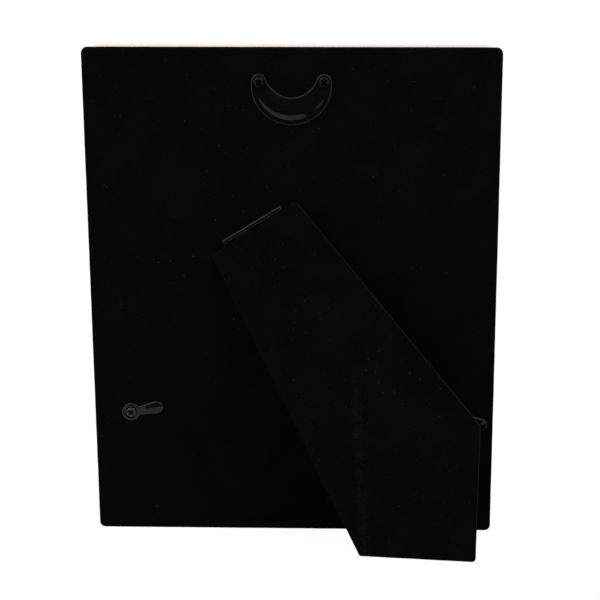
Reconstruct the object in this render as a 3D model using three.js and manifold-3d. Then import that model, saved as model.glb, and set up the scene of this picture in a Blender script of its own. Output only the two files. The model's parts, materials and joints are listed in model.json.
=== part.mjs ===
// Photo frame for a 5 x 7 in print, standing on its diagonal easel leg.
// Millimetres. +Z is up and the table is z = 0. The picture faces -Y and the back faces +Y.
// Left and right are as seen from behind, so left is +X.
// The frame is drawn upright in face coordinates: x across, y out of the back,
// z up from its lower back edge.
import * as THREE from 'three';
import { mergeVertices } from 'three/addons/utils/BufferGeometryUtils.js';
import Module from 'manifold-3d';

const wasm = await Module();
wasm.setup();

// Frame
const FRAME_WIDTH = 203.2;
const FRAME_HEIGHT = 254;
const FRAME_DEPTH = 15;
const FRAME_CORNER_RADIUS = 3;
const FRONT_CORNER_RADIUS = 9;
const FRONT_EDGE_ROUND = 7.6;
const LEAN = THREE.MathUtils.degToRad(14);

// Glazing and the sight opening
const GLASS_WIDTH = 127;
const GLASS_HEIGHT = 177.8;
const GLASS_THICKNESS = 2;
const GLASS_CLEARANCE = 0.8;
const SIGHT_OVERLAP = 3;
const SIGHT_LIP = 3;
const SIGHT_CHAMFER = 2;
const INSERT_THICKNESS = 0.3;

// Velvet, the width of the rails round the back panel's opening, and the panel
const VELVET = 0.6;
const VELVET_WRAP = 2.4;
const BACK_RAIL_SIDE = 26.1;
const BACK_RAIL_TOP = 24.2;
const BACK_RAIL_BOTTOM = 21.3;
const PANEL_BOARD = 2.2;
const PANEL_LINING = 0.3;
const PANEL_LINING_MARGIN = 3;

// Clearances
const SEAT = 0.3;
const GLUE_LINE = 0.25;
const PANEL_SEAM = 0.4;
const MITRE_GAP = 0.3;

// V-nails in the mitres
const CORNER_NAIL_INSET = 8;
const CORNER_NAIL_WING = 6;
const CORNER_NAIL_SHEET = 0.8;
const CORNER_NAIL_LENGTH = 6;

// Easel hinge
const HINGE_OFFSET = 19.9;
const HINGE_RISE = 165.8;
const HINGE_TILT = THREE.MathUtils.degToRad(32.2);
const HINGE_LENGTH = 34;
const KNUCKLES = 5;
const BARREL_RADIUS = 1.3;
const PIN_RADIUS = 0.55;
const PIN_HEAD_RADIUS = 0.95;
const PIN_HEAD = 0.5;
const LEAF = 0.6;
const LEAF_REACH = 13;
const HEEL_REACH = 1.7;

// Rivets through the hinge leaves
const RIVET_SPACING = 22;
const RIVET_SETBACK = 8;
const RIVET_SHANK_RADIUS = 0.9;
const RIVET_HEAD_RADIUS = 1.6;
const RIVET_HEAD = 0.4;
const RIVET_LENGTH = 1.5;

// Easel leg
const LEG_OPENING = THREE.MathUtils.degToRad(21.25);
const LEG_TOP_WIDTH = 50;
const LEG_TOP_GAP_LEFT = 3;
const LEG_TOP_GAP_RIGHT = 1.5;
const LEG_SIDE_MARGIN = 4.4;
const LEG_SIDE_LENGTH = 65.7;
const LEG_FOOT_WIDTH = 56.6;
const LEG_CORNER_CUT = 1.2;
const LEG_BOARD = 1.9;
const LEG_LINING = 0.4;

// Screws
const SCREW_HEAD_RADIUS = 2.5;
const SCREW_HEAD_EDGE = 0.5;
const SCREW_HEAD_DOME = 0.7;
const SCREW_SHANK_RADIUS = 1.2;
const SCREW_LENGTH = 9;
const SCREW_POINT = 2;
const RECESS_LENGTH = 2.6;
const RECESS_WIDTH = 0.6;
const RECESS_DEPTH = 0.7;
const RECESS_TURN = Math.PI / 4;

// Crescent hanger
const HANGER_SCREW_SPACING = 31.6;
const HANGER_SCREW_INSET = 16.4;
const HANGER_HORN_RADIUS = 3.6;
const HANGER_DROP = 21.6;
const HANGER_DIP = 7.4;
const HANGER_SHEET = 0.9;
const HANGER_RIM = 2.4;
const HANGER_SLOPE = 3.1;
const HANGER_BULGE = 2.2;
const HANGER_FADE = 9;

// Turn buttons
const BUTTON_INSET = 18.5;
const BUTTON_RISE = 65.4;
const LEFT_BUTTON_RAISED = THREE.MathUtils.degToRad(11);
const RIGHT_BUTTON_LOWERED = THREE.MathUtils.degToRad(25);
const BUTTON_DISC_RADIUS = 4.75;
const BUTTON_ARM_LENGTH = 16.7;
const BUTTON_NECK_WIDTH = 4.6;
const BUTTON_TIP_RADIUS = 3.4;
const BUTTON_SHEET = 1;
const BUTTON_EDGE = 0.25;
const BUTTON_DISH_RADIUS = 3.3;
const BUTTON_DISH_DEPTH = 0.4;

// How finely round shapes are cut, and how far a cut runs past a face
const ARC_STEPS = 3;
const ROUND_STEPS = 20;
const EDGE_STEPS = 3;
const NOSE_STEPS = 6;
const HANGER_STEPS = 24;
const SLOPE_STEPS = 4;
const PAST = 1;

// Levels along y, from the velvet's back face at 0 towards the picture
const RAIL_BACK = -(VELVET + GLUE_LINE);
const BOARD_BACK = RAIL_BACK;
const BOARD_FRONT = BOARD_BACK - PANEL_BOARD;
const LINING_BACK = BOARD_FRONT - GLUE_LINE;
const LINING_FRONT = LINING_BACK - PANEL_LINING;
const LEDGE = LINING_FRONT - SEAT;
const LIP_BACK = SIGHT_LIP - FRAME_DEPTH;
const GLASS_FRONT = LIP_BACK + SEAT;
const GLASS_BACK = GLASS_FRONT + GLASS_THICKNESS;
const INSERT_FRONT = GLASS_BACK + SEAT;
const INSERT_BACK = INSERT_FRONT + INSERT_THICKNESS;
const FILLER_FRONT = INSERT_BACK + SEAT;

// Hinge levels, measured from the hinge's axis
const AXIS_HEIGHT = BARREL_RADIUS + SEAT;
const BORE_RADIUS = PIN_RADIUS + SEAT;
const PANEL_LEAF_BACK = BOARD_BACK - AXIS_HEIGHT;
const PANEL_LEAF_FRONT = PANEL_LEAF_BACK - LEAF;
const LEG_FRONT = SEAT - AXIS_HEIGHT;
const LEG_BOARD_FRONT = LEG_FRONT + LEG_LINING + GLUE_LINE;
const LEG_BOARD_BACK = LEG_BOARD_FRONT + LEG_BOARD;
const LEG_BACK = LEG_BOARD_BACK + GLUE_LINE + VELVET;
const LEG_LEAF_BACK = LEG_BOARD_FRONT + LEAF;

// The panel's opening, inside the rails
const PANEL_OPENING_WIDTH = FRAME_WIDTH - 2 * BACK_RAIL_SIDE;
const PANEL_OPENING_HEIGHT = FRAME_HEIGHT - BACK_RAIL_TOP - BACK_RAIL_BOTTOM;

// Places of the screws, as (x, z) on the back
const SIDE_NAMES = ['left', 'right'];
const pairOfPlaces = (spread, rise) => [1, -1].map((side) => new THREE.Vector2(side * spread / 2, rise));
const HANGER_SCREW_RISE = FRAME_HEIGHT - HANGER_SCREW_INSET;
const HANGER_SCREWS = pairOfPlaces(HANGER_SCREW_SPACING, HANGER_SCREW_RISE);
const BUTTON_SCREWS = pairOfPlaces(FRAME_WIDTH - 2 * BUTTON_INSET, BUTTON_RISE);

// From the hinge's frame to the face, from the open leg to the hinge, and from the face to the table
const hingeFrame = new THREE.Matrix4().makeRotationY(HINGE_TILT);
hingeFrame.setPosition(HINGE_OFFSET, AXIS_HEIGHT, HINGE_RISE);
const openFrame = new THREE.Matrix4().makeRotationX(LEG_OPENING);
const leanFrame = new THREE.Matrix4().makeRotationX(-LEAN);

// Solids

function toSolid(geometry) {
  const bare = geometry.clone();
  bare.deleteAttribute('normal');
  bare.deleteAttribute('uv');
  const merged = mergeVertices(bare);
  const triangles = [];
  for (let i = 0; i < merged.index.count; i += 3) {
    const [a, b, c] = merged.index.array.slice(i, i + 3);
    if (a !== b && b !== c && c !== a) triangles.push(a, b, c);
  }
  const vertProperties = new Float32Array(merged.attributes.position.array);
  const triVerts = new Uint32Array(triangles);
  return new wasm.Manifold(new wasm.Mesh({ numProp: 3, vertProperties, triVerts }));
}

function join(first, ...others) {
  return others.reduce((sum, geometry) => sum.add(toSolid(geometry)), toSolid(first));
}

function cut(solid, ...tools) {
  return tools.reduce((rest, geometry) => rest.subtract(toSolid(geometry)), solid);
}

function toMesh(name, solid, finish) {
  const { vertProperties, triVerts } = solid.getMesh();
  const geometry = new THREE.BufferGeometry();
  geometry.setAttribute('position', new THREE.BufferAttribute(vertProperties, 3));
  geometry.setIndex(new THREE.BufferAttribute(triVerts, 1));
  geometry.computeVertexNormals();
  const mesh = new THREE.Mesh(geometry, new THREE.MeshStandardMaterial(finish));
  mesh.name = name;
  return mesh;
}

// Outlines in (x, z)

function rectangle(width, height, bottom, grow = 0) {
  const half = width / 2 + grow;
  const low = bottom - grow;
  const high = bottom + height + grow;
  return new THREE.Shape([
    new THREE.Vector2(-half, low),
    new THREE.Vector2(half, low),
    new THREE.Vector2(half, high),
    new THREE.Vector2(-half, high),
  ]);
}

function frameOutline(inset = 0, corner = FRAME_CORNER_RADIUS) {
  const half = FRAME_WIDTH / 2 - corner;
  const low = corner;
  const high = FRAME_HEIGHT - corner;
  const radius = corner - inset;
  const shape = new THREE.Shape();
  shape.absarc(half, low, radius, -Math.PI / 2, 0);
  shape.absarc(half, high, radius, 0, Math.PI / 2);
  shape.absarc(-half, high, radius, Math.PI / 2, Math.PI);
  shape.absarc(-half, low, radius, Math.PI, 1.5 * Math.PI);
  return shape;
}

function withHole(shape, hole) {
  shape.holes.push(hole);
  return shape;
}

// Moves every edge of a convex outline inwards by the same distance.
function insetCorners(corners, distance) {
  const turn = Math.sign(THREE.ShapeUtils.area(corners));
  return corners.map((corner, i) => {
    const along = corner.clone().sub(corners.at(i - 1)).normalize();
    const onward = corners[(i + 1) % corners.length].clone().sub(corner).normalize();
    const reach = turn * distance / along.cross(onward);
    return corner.clone().add(onward.sub(along).multiplyScalar(reach));
  });
}

function roundedOutline(corners, cutback) {
  const shape = new THREE.Shape();
  corners.forEach((corner, i) => {
    const start = corners.at(i - 1).clone().sub(corner).setLength(cutback).add(corner);
    const end = corners[(i + 1) % corners.length].clone().sub(corner).setLength(cutback).add(corner);
    if (i === 0) shape.moveTo(start.x, start.y);
    else shape.lineTo(start.x, start.y);
    shape.quadraticCurveTo(corner.x, corner.y, end.x, end.y);
  });
  return shape;
}

// Geometry from outlines

// A slab of an outline between two levels along y.
function slab(outline, front, back) {
  const settings = { depth: back - front, bevelEnabled: false, curveSegments: ARC_STEPS };
  const geometry = new THREE.ExtrudeGeometry(outline, settings);
  return geometry.rotateX(Math.PI / 2).translate(0, back, 0);
}

// A slab whose rim is rounded off, or with one step bevelled, at both faces.
function easedSlab(outline, front, back, ease, steps) {
  const settings = {
    depth: back - front - 2 * ease,
    bevelThickness: ease,
    bevelSize: ease,
    bevelOffset: -ease,
    bevelSegments: steps,
    curveSegments: ARC_STEPS,
  };
  const geometry = new THREE.ExtrudeGeometry(outline, settings);
  return geometry.rotateX(Math.PI / 2).translate(0, back - ease, 0);
}

function peg(place, radius, front, back) {
  const geometry = new THREE.CylinderGeometry(radius, radius, back - front, ROUND_STEPS);
  return geometry.translate(place.x, (front + back) / 2, place.y);
}

// A round bar along x, centred on the axis of the hinge.
function rod(radius, start, end) {
  const geometry = new THREE.CylinderGeometry(radius, radius, end - start, ROUND_STEPS);
  return geometry.rotateZ(Math.PI / 2).translate((start + end) / 2, 0, 0);
}

function box(x, y, z) {
  const geometry = new THREE.BoxGeometry(x[1] - x[0], y[1] - y[0], z[1] - z[0]);
  return geometry.translate((x[0] + x[1]) / 2, (y[0] + y[1]) / 2, (z[0] + z[1]) / 2);
}

// Finishes

const finishes = {
  velvet: { color: 0x0b0b0c, roughness: 1, metalness: 0 },
  cream: { color: 0xf2dfce, roughness: 0.45, metalness: 0 },
  blackMetal: { color: 0x17171a, roughness: 0.38, metalness: 0.6 },
  steel: { color: 0x8d8f92, roughness: 0.35, metalness: 1 },
  board: { color: 0x6b4f36, roughness: 0.9, metalness: 0 },
  blackPaper: { color: 0x151516, roughness: 0.95, metalness: 0 },
  whitePaper: { color: 0xf1efe9, roughness: 0.9, metalness: 0 },
  card: { color: 0xb08a5d, roughness: 0.95, metalness: 0 },
  glass: { color: 0xe9f2ef, roughness: 0.05, metalness: 0, transparent: true, opacity: 0.3 },
};

// Frame rails: one moulded body, cut apart on the mitres

const SIGHT_WIDTH = GLASS_WIDTH - 2 * SIGHT_OVERLAP;
const SIGHT_HEIGHT = GLASS_HEIGHT - 2 * SIGHT_OVERLAP;
const SIGHT_RISE = (FRAME_HEIGHT - SIGHT_HEIGHT) / 2;
const GLASS_RISE = (FRAME_HEIGHT - GLASS_HEIGHT) / 2;

function panelOpening(grow) {
  return rectangle(PANEL_OPENING_WIDTH, PANEL_OPENING_HEIGHT, BACK_RAIL_BOTTOM, grow);
}

// The front has rounder corners than the velvet's edge, and its outer edge is a full round nose.
function frameBody() {
  const skin = VELVET + GLUE_LINE;
  const shoulder = -VELVET_WRAP - SEAT;
  const nosedEnd = shoulder + 2 * FRONT_EDGE_ROUND;
  const frontOutline = frameOutline(0, FRONT_CORNER_RADIUS);
  const nosed = easedSlab(frontOutline, -FRAME_DEPTH, nosedEnd, FRONT_EDGE_ROUND, NOSE_STEPS);
  const frontZone = cut(toSolid(nosed), slab(frameOutline(-PAST), shoulder, nosedEnd + PAST));
  const body = frontZone.add(toSolid(slab(frameOutline(skin), shoulder - PAST, RAIL_BACK)));
  const chamferFront = -FRAME_DEPTH - 2 * SIGHT_CHAMFER;
  const widened = rectangle(SIGHT_WIDTH, SIGHT_HEIGHT, SIGHT_RISE, SIGHT_CHAMFER);
  return cut(
    body,
    slab(rectangle(SIGHT_WIDTH, SIGHT_HEIGHT, SIGHT_RISE), -FRAME_DEPTH - PAST, 0),
    slab(rectangle(GLASS_WIDTH, GLASS_HEIGHT, GLASS_RISE, GLASS_CLEARANCE), LIP_BACK, 0),
    slab(panelOpening(skin), LEDGE, 0),
    easedSlab(widened, chamferFront, SIGHT_CHAMFER - FRAME_DEPTH, SIGHT_CHAMFER, 1),
  );
}

// The part of the frame between two mitres, as seen from the rail's own outer edge.
function railWedges() {
  const half = FRAME_WIDTH / 2;
  const reach = Math.max(FRAME_WIDTH - SIGHT_WIDTH, FRAME_HEIGHT - SIGHT_HEIGHT) / 2 + PAST;
  const gap = MITRE_GAP * Math.SQRT2;
  const across = (edge, inwards) => new THREE.Shape([
    new THREE.Vector2(-half - PAST, edge - inwards * PAST),
    new THREE.Vector2(half + PAST, edge - inwards * PAST),
    new THREE.Vector2(half - reach, edge + inwards * reach),
    new THREE.Vector2(reach - half, edge + inwards * reach),
  ]);
  const upright = (side) => new THREE.Shape([
    new THREE.Vector2(side * (half + PAST), -PAST),
    new THREE.Vector2(side * (half + PAST), FRAME_HEIGHT + PAST),
    new THREE.Vector2(side * (half - reach), FRAME_HEIGHT - reach),
    new THREE.Vector2(side * (half - reach), reach),
  ]);
  return {
    top_rail: across(FRAME_HEIGHT + gap, -1),
    bottom_rail: across(-gap, 1),
    left_rail: upright(1),
    right_rail: upright(-1),
  };
}

// An L of sheet steel, its corner towards the frame's outer corner, so that each wing lies in one rail.
function cornerNailOutline(sideX, sideZ, grow) {
  const tip = grow;
  const inner = -CORNER_NAIL_SHEET - grow;
  const end = -CORNER_NAIL_WING - grow;
  const corners = [[tip, tip], [end, tip], [end, inner], [inner, inner], [inner, end], [tip, end]];
  const cornerX = sideX * (FRAME_WIDTH / 2 - CORNER_NAIL_INSET);
  const cornerZ = FRAME_HEIGHT / 2 + sideZ * (FRAME_HEIGHT / 2 - CORNER_NAIL_INSET);
  const place = ([x, z]) => new THREE.Vector2(cornerX + sideX * x, cornerZ + sideZ * z);
  return new THREE.Shape(corners.map(place));
}

const CORNERS = {
  top_left: [1, 1],
  top_right: [-1, 1],
  bottom_left: [1, -1],
  bottom_right: [-1, -1],
};

function frameRails() {
  const nailEnd = RAIL_BACK - CORNER_NAIL_LENGTH;
  const pockets = Object.values(CORNERS).map(
    ([x, z]) => slab(cornerNailOutline(x, z, SEAT), nailEnd - SEAT, 0),
  );
  const holes = [
    ...HANGER_SCREWS.map((place) => screwHole(place, HANGER_SCREW_SEAT)),
    ...BUTTON_SCREWS.map((place) => screwHole(place, BUTTON_SCREW_SEAT)),
  ];
  const body = cut(frameBody(), ...pockets, ...holes);
  const rails = Object.entries(railWedges()).map(([name, wedge]) => {
    const between = toSolid(slab(wedge, -FRAME_DEPTH - PAST, PAST));
    return toMesh(name, body.intersect(between), finishes.cream);
  });
  const nails = Object.entries(CORNERS).map(([name, [x, z]]) => {
    const nail = toSolid(slab(cornerNailOutline(x, z, 0), nailEnd, RAIL_BACK));
    return toMesh(`corner_nail_${name}`, nail, finishes.steel);
  });
  return [...rails, ...nails];
}

// Velvet over the back of the rails, round the outer edge and down the walls of the panel's opening.
function frameVelvet() {
  const skin = join(
    slab(withHole(frameOutline(), panelOpening(0)), -VELVET, 0),
    slab(withHole(frameOutline(), frameOutline(VELVET)), -VELVET_WRAP, 0),
    slab(withHole(panelOpening(VELVET), panelOpening(0)), LEDGE + SEAT, 0),
  );
  const holes = [...HANGER_SCREWS, ...BUTTON_SCREWS].map(
    (place) => peg(place, SCREW_SHANK_RADIUS + SEAT, -VELVET - PAST, PAST),
  );
  return toMesh('frame_velvet', cut(skin, ...holes), finishes.velvet);
}

// What the frame holds: glass, paper and a pad that presses them against the lip

function picturePack() {
  const outline = rectangle(GLASS_WIDTH, GLASS_HEIGHT, GLASS_RISE);
  const sheet = (front, back) => toSolid(slab(outline, front, back));
  return [
    toMesh('glass_pane', sheet(GLASS_FRONT, GLASS_BACK), finishes.glass),
    toMesh('paper_insert', sheet(INSERT_FRONT, INSERT_BACK), finishes.whitePaper),
    toMesh('filler_pad', sheet(FILLER_FRONT, LEDGE), finishes.card),
  ];
}

// Rivets, countersunk flush with the leaf that they hold.
// The head's face is at y = 0 and the shank runs to -y.

function rivetGeometry(grow) {
  const profile = [
    [0, -RIVET_LENGTH - grow],
    [RIVET_SHANK_RADIUS + grow, -RIVET_LENGTH - grow],
    [RIVET_SHANK_RADIUS + grow, -RIVET_HEAD],
    [RIVET_HEAD_RADIUS + grow, 0],
    [RIVET_HEAD_RADIUS + grow, grow],
    [0, grow],
  ];
  return new THREE.LatheGeometry(profile.map(([r, y]) => new THREE.Vector2(r, y)), ROUND_STEPS);
}

const RIVET_PLACES = [RIVET_SPACING / 2, -RIVET_SPACING / 2];

function panelRivet(x, grow) {
  return rivetGeometry(grow).translate(x, PANEL_LEAF_BACK, RIVET_SETBACK);
}

function legRivet(x, grow) {
  return rivetGeometry(grow).rotateX(Math.PI).translate(x, LEG_BOARD_FRONT, -RIVET_SETBACK);
}

// Easel hinge: two leaves, knuckles in turn along one pin

const KNUCKLE_PITCH = (HINGE_LENGTH + SEAT) / KNUCKLES;
const LEAF_HALF = HINGE_LENGTH / 2;

function knuckleSpans(first) {
  const spans = [];
  for (let i = first; i < KNUCKLES; i += 2) {
    const start = -LEAF_HALF + i * KNUCKLE_PITCH;
    spans.push([start, start + KNUCKLE_PITCH - SEAT]);
  }
  return spans;
}

function pinBore() {
  return rod(BORE_RADIUS, -LEAF_HALF - PAST, LEAF_HALF + PAST);
}

// The panel's leaf lies in the board under the velvet and comes up through a slit below the barrel.
function hingePanelLeaf() {
  const sheet = [PANEL_LEAF_FRONT, PANEL_LEAF_BACK];
  const plate = box([-LEAF_HALF, LEAF_HALF], sheet, [-LEAF / 2, LEAF_REACH]);
  const knuckles = knuckleSpans(0).flatMap((span) => [
    rod(BARREL_RADIUS, ...span),
    box(span, [PANEL_LEAF_FRONT, 0], [-LEAF / 2, LEAF / 2]),
  ]);
  const rivetHoles = RIVET_PLACES.map((x) => panelRivet(x, SEAT));
  return cut(join(plate, ...knuckles), pinBore(), ...rivetHoles);
}

// The leg's leaf lies in the leg's board. A heel on each of its knuckles meets the panel
// when the leg is open.
function hingeLegLeaf() {
  const root = -BARREL_RADIUS - SEAT;
  const plate = box([-LEAF_HALF, LEAF_HALF], [LEG_BOARD_FRONT, LEG_LEAF_BACK], [-LEAF_REACH, root]);
  const rise = HEEL_REACH * Math.sin(LEG_OPENING);
  const heelFront = (SEAT - AXIS_HEIGHT + rise) / Math.cos(LEG_OPENING);
  const knuckles = knuckleSpans(1).flatMap((span) => [
    rod(BARREL_RADIUS, ...span),
    box(span, [LEG_BOARD_FRONT, LEG_LEAF_BACK], [root - PAST, 0]),
    box(span, [heelFront, heelFront + LEAF], [0, HEEL_REACH]),
  ]);
  const rivetHoles = RIVET_PLACES.map((x) => legRivet(x, SEAT));
  return cut(join(plate, ...knuckles), pinBore(), ...rivetHoles);
}

function hingePin() {
  const end = LEAF_HALF + SEAT;
  const heads = [rod(PIN_HEAD_RADIUS, -end - PIN_HEAD, -end), rod(PIN_HEAD_RADIUS, end, end + PIN_HEAD)];
  return join(rod(PIN_RADIUS, -end - PIN_HEAD / 2, end + PIN_HEAD / 2), ...heads);
}

// Loose back panel: board, velvet over its back and edges, and a paper lining

function panelOutline(inset) {
  return panelOpening(-PANEL_SEAM - inset);
}

function backPanel() {
  const leafWidth = HINGE_LENGTH + 2 * SEAT;
  const slitHeight = LEAF + 2 * SEAT;
  const slit = rectangle(leafWidth, slitHeight, -slitHeight / 2);
  const velvetSlit = slab(slit, PANEL_LEAF_BACK, PAST).applyMatrix4(hingeFrame);
  const pocketOutline = rectangle(leafWidth, LEAF_REACH + LEAF / 2 + 2 * SEAT, -slitHeight / 2);
  const pocket = slab(pocketOutline, PANEL_LEAF_FRONT - SEAT, PAST).applyMatrix4(hingeFrame);
  const rivetHoles = RIVET_PLACES.map((x) => panelRivet(x, SEAT).applyMatrix4(hingeFrame));
  const velvet = join(
    slab(panelOutline(0), -VELVET, 0),
    slab(withHole(panelOutline(0), panelOutline(VELVET)), BOARD_FRONT, 0),
  );
  const board = toSolid(slab(panelOutline(VELVET + GLUE_LINE), BOARD_FRONT, BOARD_BACK));
  const lining = toSolid(slab(panelOutline(PANEL_LINING_MARGIN), LINING_FRONT, LINING_BACK));
  return [
    toMesh('back_panel_velvet', cut(velvet, velvetSlit), finishes.velvet),
    toMesh('back_panel_board', cut(board, pocket, ...rivetHoles), finishes.board),
    toMesh('back_panel_lining', lining, finishes.blackPaper),
  ];
}

// Easel leg, drawn in its own frame: x along the hinge, y out of its back, -z down the leg

function heightOverTable(x, z) {
  const point = new THREE.Vector3(x, LEG_FRONT, z).applyMatrix4(openFrame);
  return point.applyMatrix4(hingeFrame).applyMatrix4(leanFrame).z;
}

// The foot lies along the line where the open leg's front face meets the table. Folded against the back,
// the leg's lower side is upright, one margin in from the frame's edge.
function legCorners() {
  const base = heightOverTable(0, 0);
  const slope = new THREE.Vector2(heightOverTable(1, 0) - base, heightOverTable(0, 1) - base);
  const sideways = new THREE.Vector2(Math.cos(HINGE_TILT), Math.sin(HINGE_TILT));
  const sideReach = LEG_SIDE_MARGIN - FRAME_WIDTH / 2 - HINGE_OFFSET;
  const spread = slope.cross(sideways);
  const heel = new THREE.Vector2(
    (-base * sideways.y - slope.y * sideReach) / spread,
    (slope.x * sideReach + base * sideways.x) / spread,
  );
  const upright = new THREE.Vector2(-sideways.y, sideways.x);
  const alongFoot = new THREE.Vector2(slope.y, -slope.x).setLength(LEG_FOOT_WIDTH);
  return [
    new THREE.Vector2(LEG_TOP_WIDTH / 2, -LEG_TOP_GAP_LEFT),
    new THREE.Vector2(-LEG_TOP_WIDTH / 2, -LEG_TOP_GAP_RIGHT),
    heel.clone().addScaledVector(upright, LEG_SIDE_LENGTH),
    heel,
    heel.clone().add(alongFoot),
  ];
}

function easelLeg() {
  const corners = legCorners();
  const inner = insetCorners(corners, VELVET + GLUE_LINE);
  const wall = insetCorners(corners, VELVET);
  const wallHole = new THREE.Shape(wall);
  const leafHalf = LEAF_HALF + SEAT;
  const leafSlot = box(
    [-leafHalf, leafHalf],
    [LEG_BOARD_FRONT - SEAT, LEG_LEAF_BACK + SEAT],
    [-LEAF_REACH - SEAT, PAST],
  );
  const velvet = join(
    slab(roundedOutline(corners, LEG_CORNER_CUT), LEG_BACK - VELVET, LEG_BACK),
    slab(withHole(roundedOutline(corners, LEG_CORNER_CUT), wallHole), LEG_FRONT, LEG_BACK),
  );
  const rivetHoles = RIVET_PLACES.map((x) => legRivet(x, SEAT));
  const innerOutline = new THREE.Shape(inner);
  const board = toSolid(slab(innerOutline, LEG_BOARD_FRONT, LEG_BOARD_BACK));
  const lining = toSolid(slab(innerOutline, LEG_FRONT, LEG_FRONT + LEG_LINING));
  return [
    toMesh('leg_velvet', cut(velvet, leafSlot), finishes.velvet),
    toMesh('leg_board', cut(board, leafSlot, ...rivetHoles), finishes.board),
    toMesh('leg_lining', lining, finishes.blackPaper),
    toMesh('hinge_leg_leaf', hingeLegLeaf(), finishes.steel),
    ...RIVET_PLACES.map((x, i) => {
      const rivet = toSolid(legRivet(x, 0));
      return toMesh(`leg_rivet_${SIDE_NAMES[i]}`, rivet, finishes.steel);
    }),
  ];
}

// Screws with a domed head and a cross recess. The seat is the underside of the head.

const HANGER_SCREW_SEAT = SEAT + HANGER_SHEET + SEAT;
const BUTTON_SCREW_SEAT = SEAT + BUTTON_SHEET - BUTTON_DISH_DEPTH + SEAT;

function screwHole(place, seat) {
  return peg(place, SCREW_SHANK_RADIUS + SEAT, seat - SCREW_LENGTH - SEAT, PAST);
}

function screw(place, seat) {
  const top = SCREW_HEAD_EDGE + SCREW_HEAD_DOME;
  const profile = [
    new THREE.Vector2(0, -SCREW_LENGTH),
    new THREE.Vector2(SCREW_SHANK_RADIUS, SCREW_POINT - SCREW_LENGTH),
    new THREE.Vector2(SCREW_SHANK_RADIUS, 0),
    new THREE.Vector2(SCREW_HEAD_RADIUS, 0),
  ];
  for (let i = 0; i < EDGE_STEPS; i += 1) {
    const angle = i / EDGE_STEPS * Math.PI / 2;
    const y = SCREW_HEAD_EDGE + SCREW_HEAD_DOME * Math.sin(angle);
    profile.push(new THREE.Vector2(SCREW_HEAD_RADIUS * Math.cos(angle), y));
  }
  profile.push(new THREE.Vector2(0, top));
  const slotHalf = RECESS_WIDTH / 2;
  const slotEnd = RECESS_LENGTH / 2;
  const depth = [top - RECESS_DEPTH, top + PAST];
  const recess = [
    box([-slotEnd, slotEnd], depth, [-slotHalf, slotHalf]).rotateY(RECESS_TURN),
    box([-slotHalf, slotHalf], depth, [-slotEnd, slotEnd]).rotateY(RECESS_TURN),
  ];
  const blank = new THREE.LatheGeometry(profile, ROUND_STEPS).translate(place.x, seat, place.y);
  return cut(toSolid(blank), ...recess.map((tool) => tool.translate(place.x, seat, place.y)));
}

// Crescent hanger: a pressed crescent, flat round its rim, with a pocket that is open along its inner arc

// A point on an arc that hangs below its centre, at an angle from straight down.
function arcPoint(centre, radius, angle) {
  return new THREE.Vector2(radius * Math.sin(angle), centre - radius * Math.cos(angle));
}

// Points across the sheet at one station, -1 to 1 from horn to horn, each as (x, level, z).
function hangerSection(station) {
  const half = HANGER_SCREW_SPACING / 2;
  const horn = HANGER_HORN_RADIUS;
  // Both arcs touch the horns' round ends and pass through the drop and the dip below the screws.
  const outerRadius = (half ** 2 + HANGER_DROP ** 2 - horn ** 2) / (2 * (HANGER_DROP - horn));
  const innerRadius = (half ** 2 + HANGER_DIP ** 2 - horn ** 2) / (2 * (HANGER_DIP + horn));
  const outerCentre = outerRadius - HANGER_DROP;
  const innerCentre = innerRadius - HANGER_DIP;
  const outerSpan = Math.atan2(half, outerCentre);
  const innerSpan = Math.atan2(half, innerCentre);
  const outer = arcPoint(outerCentre, outerRadius, station * outerSpan);
  const inner = arcPoint(innerCentre, innerRadius, station * innerSpan);
  const fromHorn = (1 - Math.abs(station)) * outerSpan * outerRadius - horn;
  const bulge = HANGER_BULGE * THREE.MathUtils.smoothstep(fromHorn, 0, HANGER_FADE);
  const width = outer.distanceTo(inner);
  const section = [[0, 0]];
  for (let i = 0; i <= SLOPE_STEPS; i += 1) {
    const share = i / SLOPE_STEPS;
    section.push([HANGER_RIM + share * HANGER_SLOPE, bulge * THREE.MathUtils.smoothstep(share, 0, 1)]);
  }
  section.push([width, bulge]);
  return section.map(([distance, level]) => {
    const point = outer.clone().lerp(inner, distance / width);
    return new THREE.Vector3(point.x, level, point.y);
  });
}

function hangerSheet() {
  const section = (_, i) => hangerSection(2 * i / HANGER_STEPS - 1);
  const stations = Array.from({ length: HANGER_STEPS + 1 }, section);
  const across = stations[0].length;
  const lastStation = HANGER_STEPS;
  const lastAcross = across - 1;
  const positions = stations.flat().flatMap((point) => [
    [point.x, SEAT + point.y, HANGER_SCREW_RISE + point.z],
    [point.x, SEAT + point.y + HANGER_SHEET, HANGER_SCREW_RISE + point.z],
  ]);
  const under = (i, j) => 2 * (i * across + j);
  const over = (i, j) => under(i, j) + 1;
  const triangles = [];
  const quad = (a, b, c, d) => triangles.push(a, b, c, a, c, d);
  for (let i = 0; i < lastStation; i += 1) {
    for (let j = 0; j < lastAcross; j += 1) {
      quad(over(i, j), over(i, j + 1), over(i + 1, j + 1), over(i + 1, j));
      quad(under(i, j), under(i + 1, j), under(i + 1, j + 1), under(i, j + 1));
    }
    quad(under(i, 0), over(i, 0), over(i + 1, 0), under(i + 1, 0));
    quad(under(i, lastAcross), under(i + 1, lastAcross), over(i + 1, lastAcross), over(i, lastAcross));
  }
  for (let j = 0; j < lastAcross; j += 1) {
    quad(under(0, j), under(0, j + 1), over(0, j + 1), over(0, j));
    quad(under(lastStation, j), over(lastStation, j), over(lastStation, j + 1), under(lastStation, j + 1));
  }
  const geometry = new THREE.BufferGeometry();
  geometry.setAttribute('position', new THREE.Float32BufferAttribute(positions.flat(), 3));
  return geometry.setIndex(triangles);
}

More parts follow.
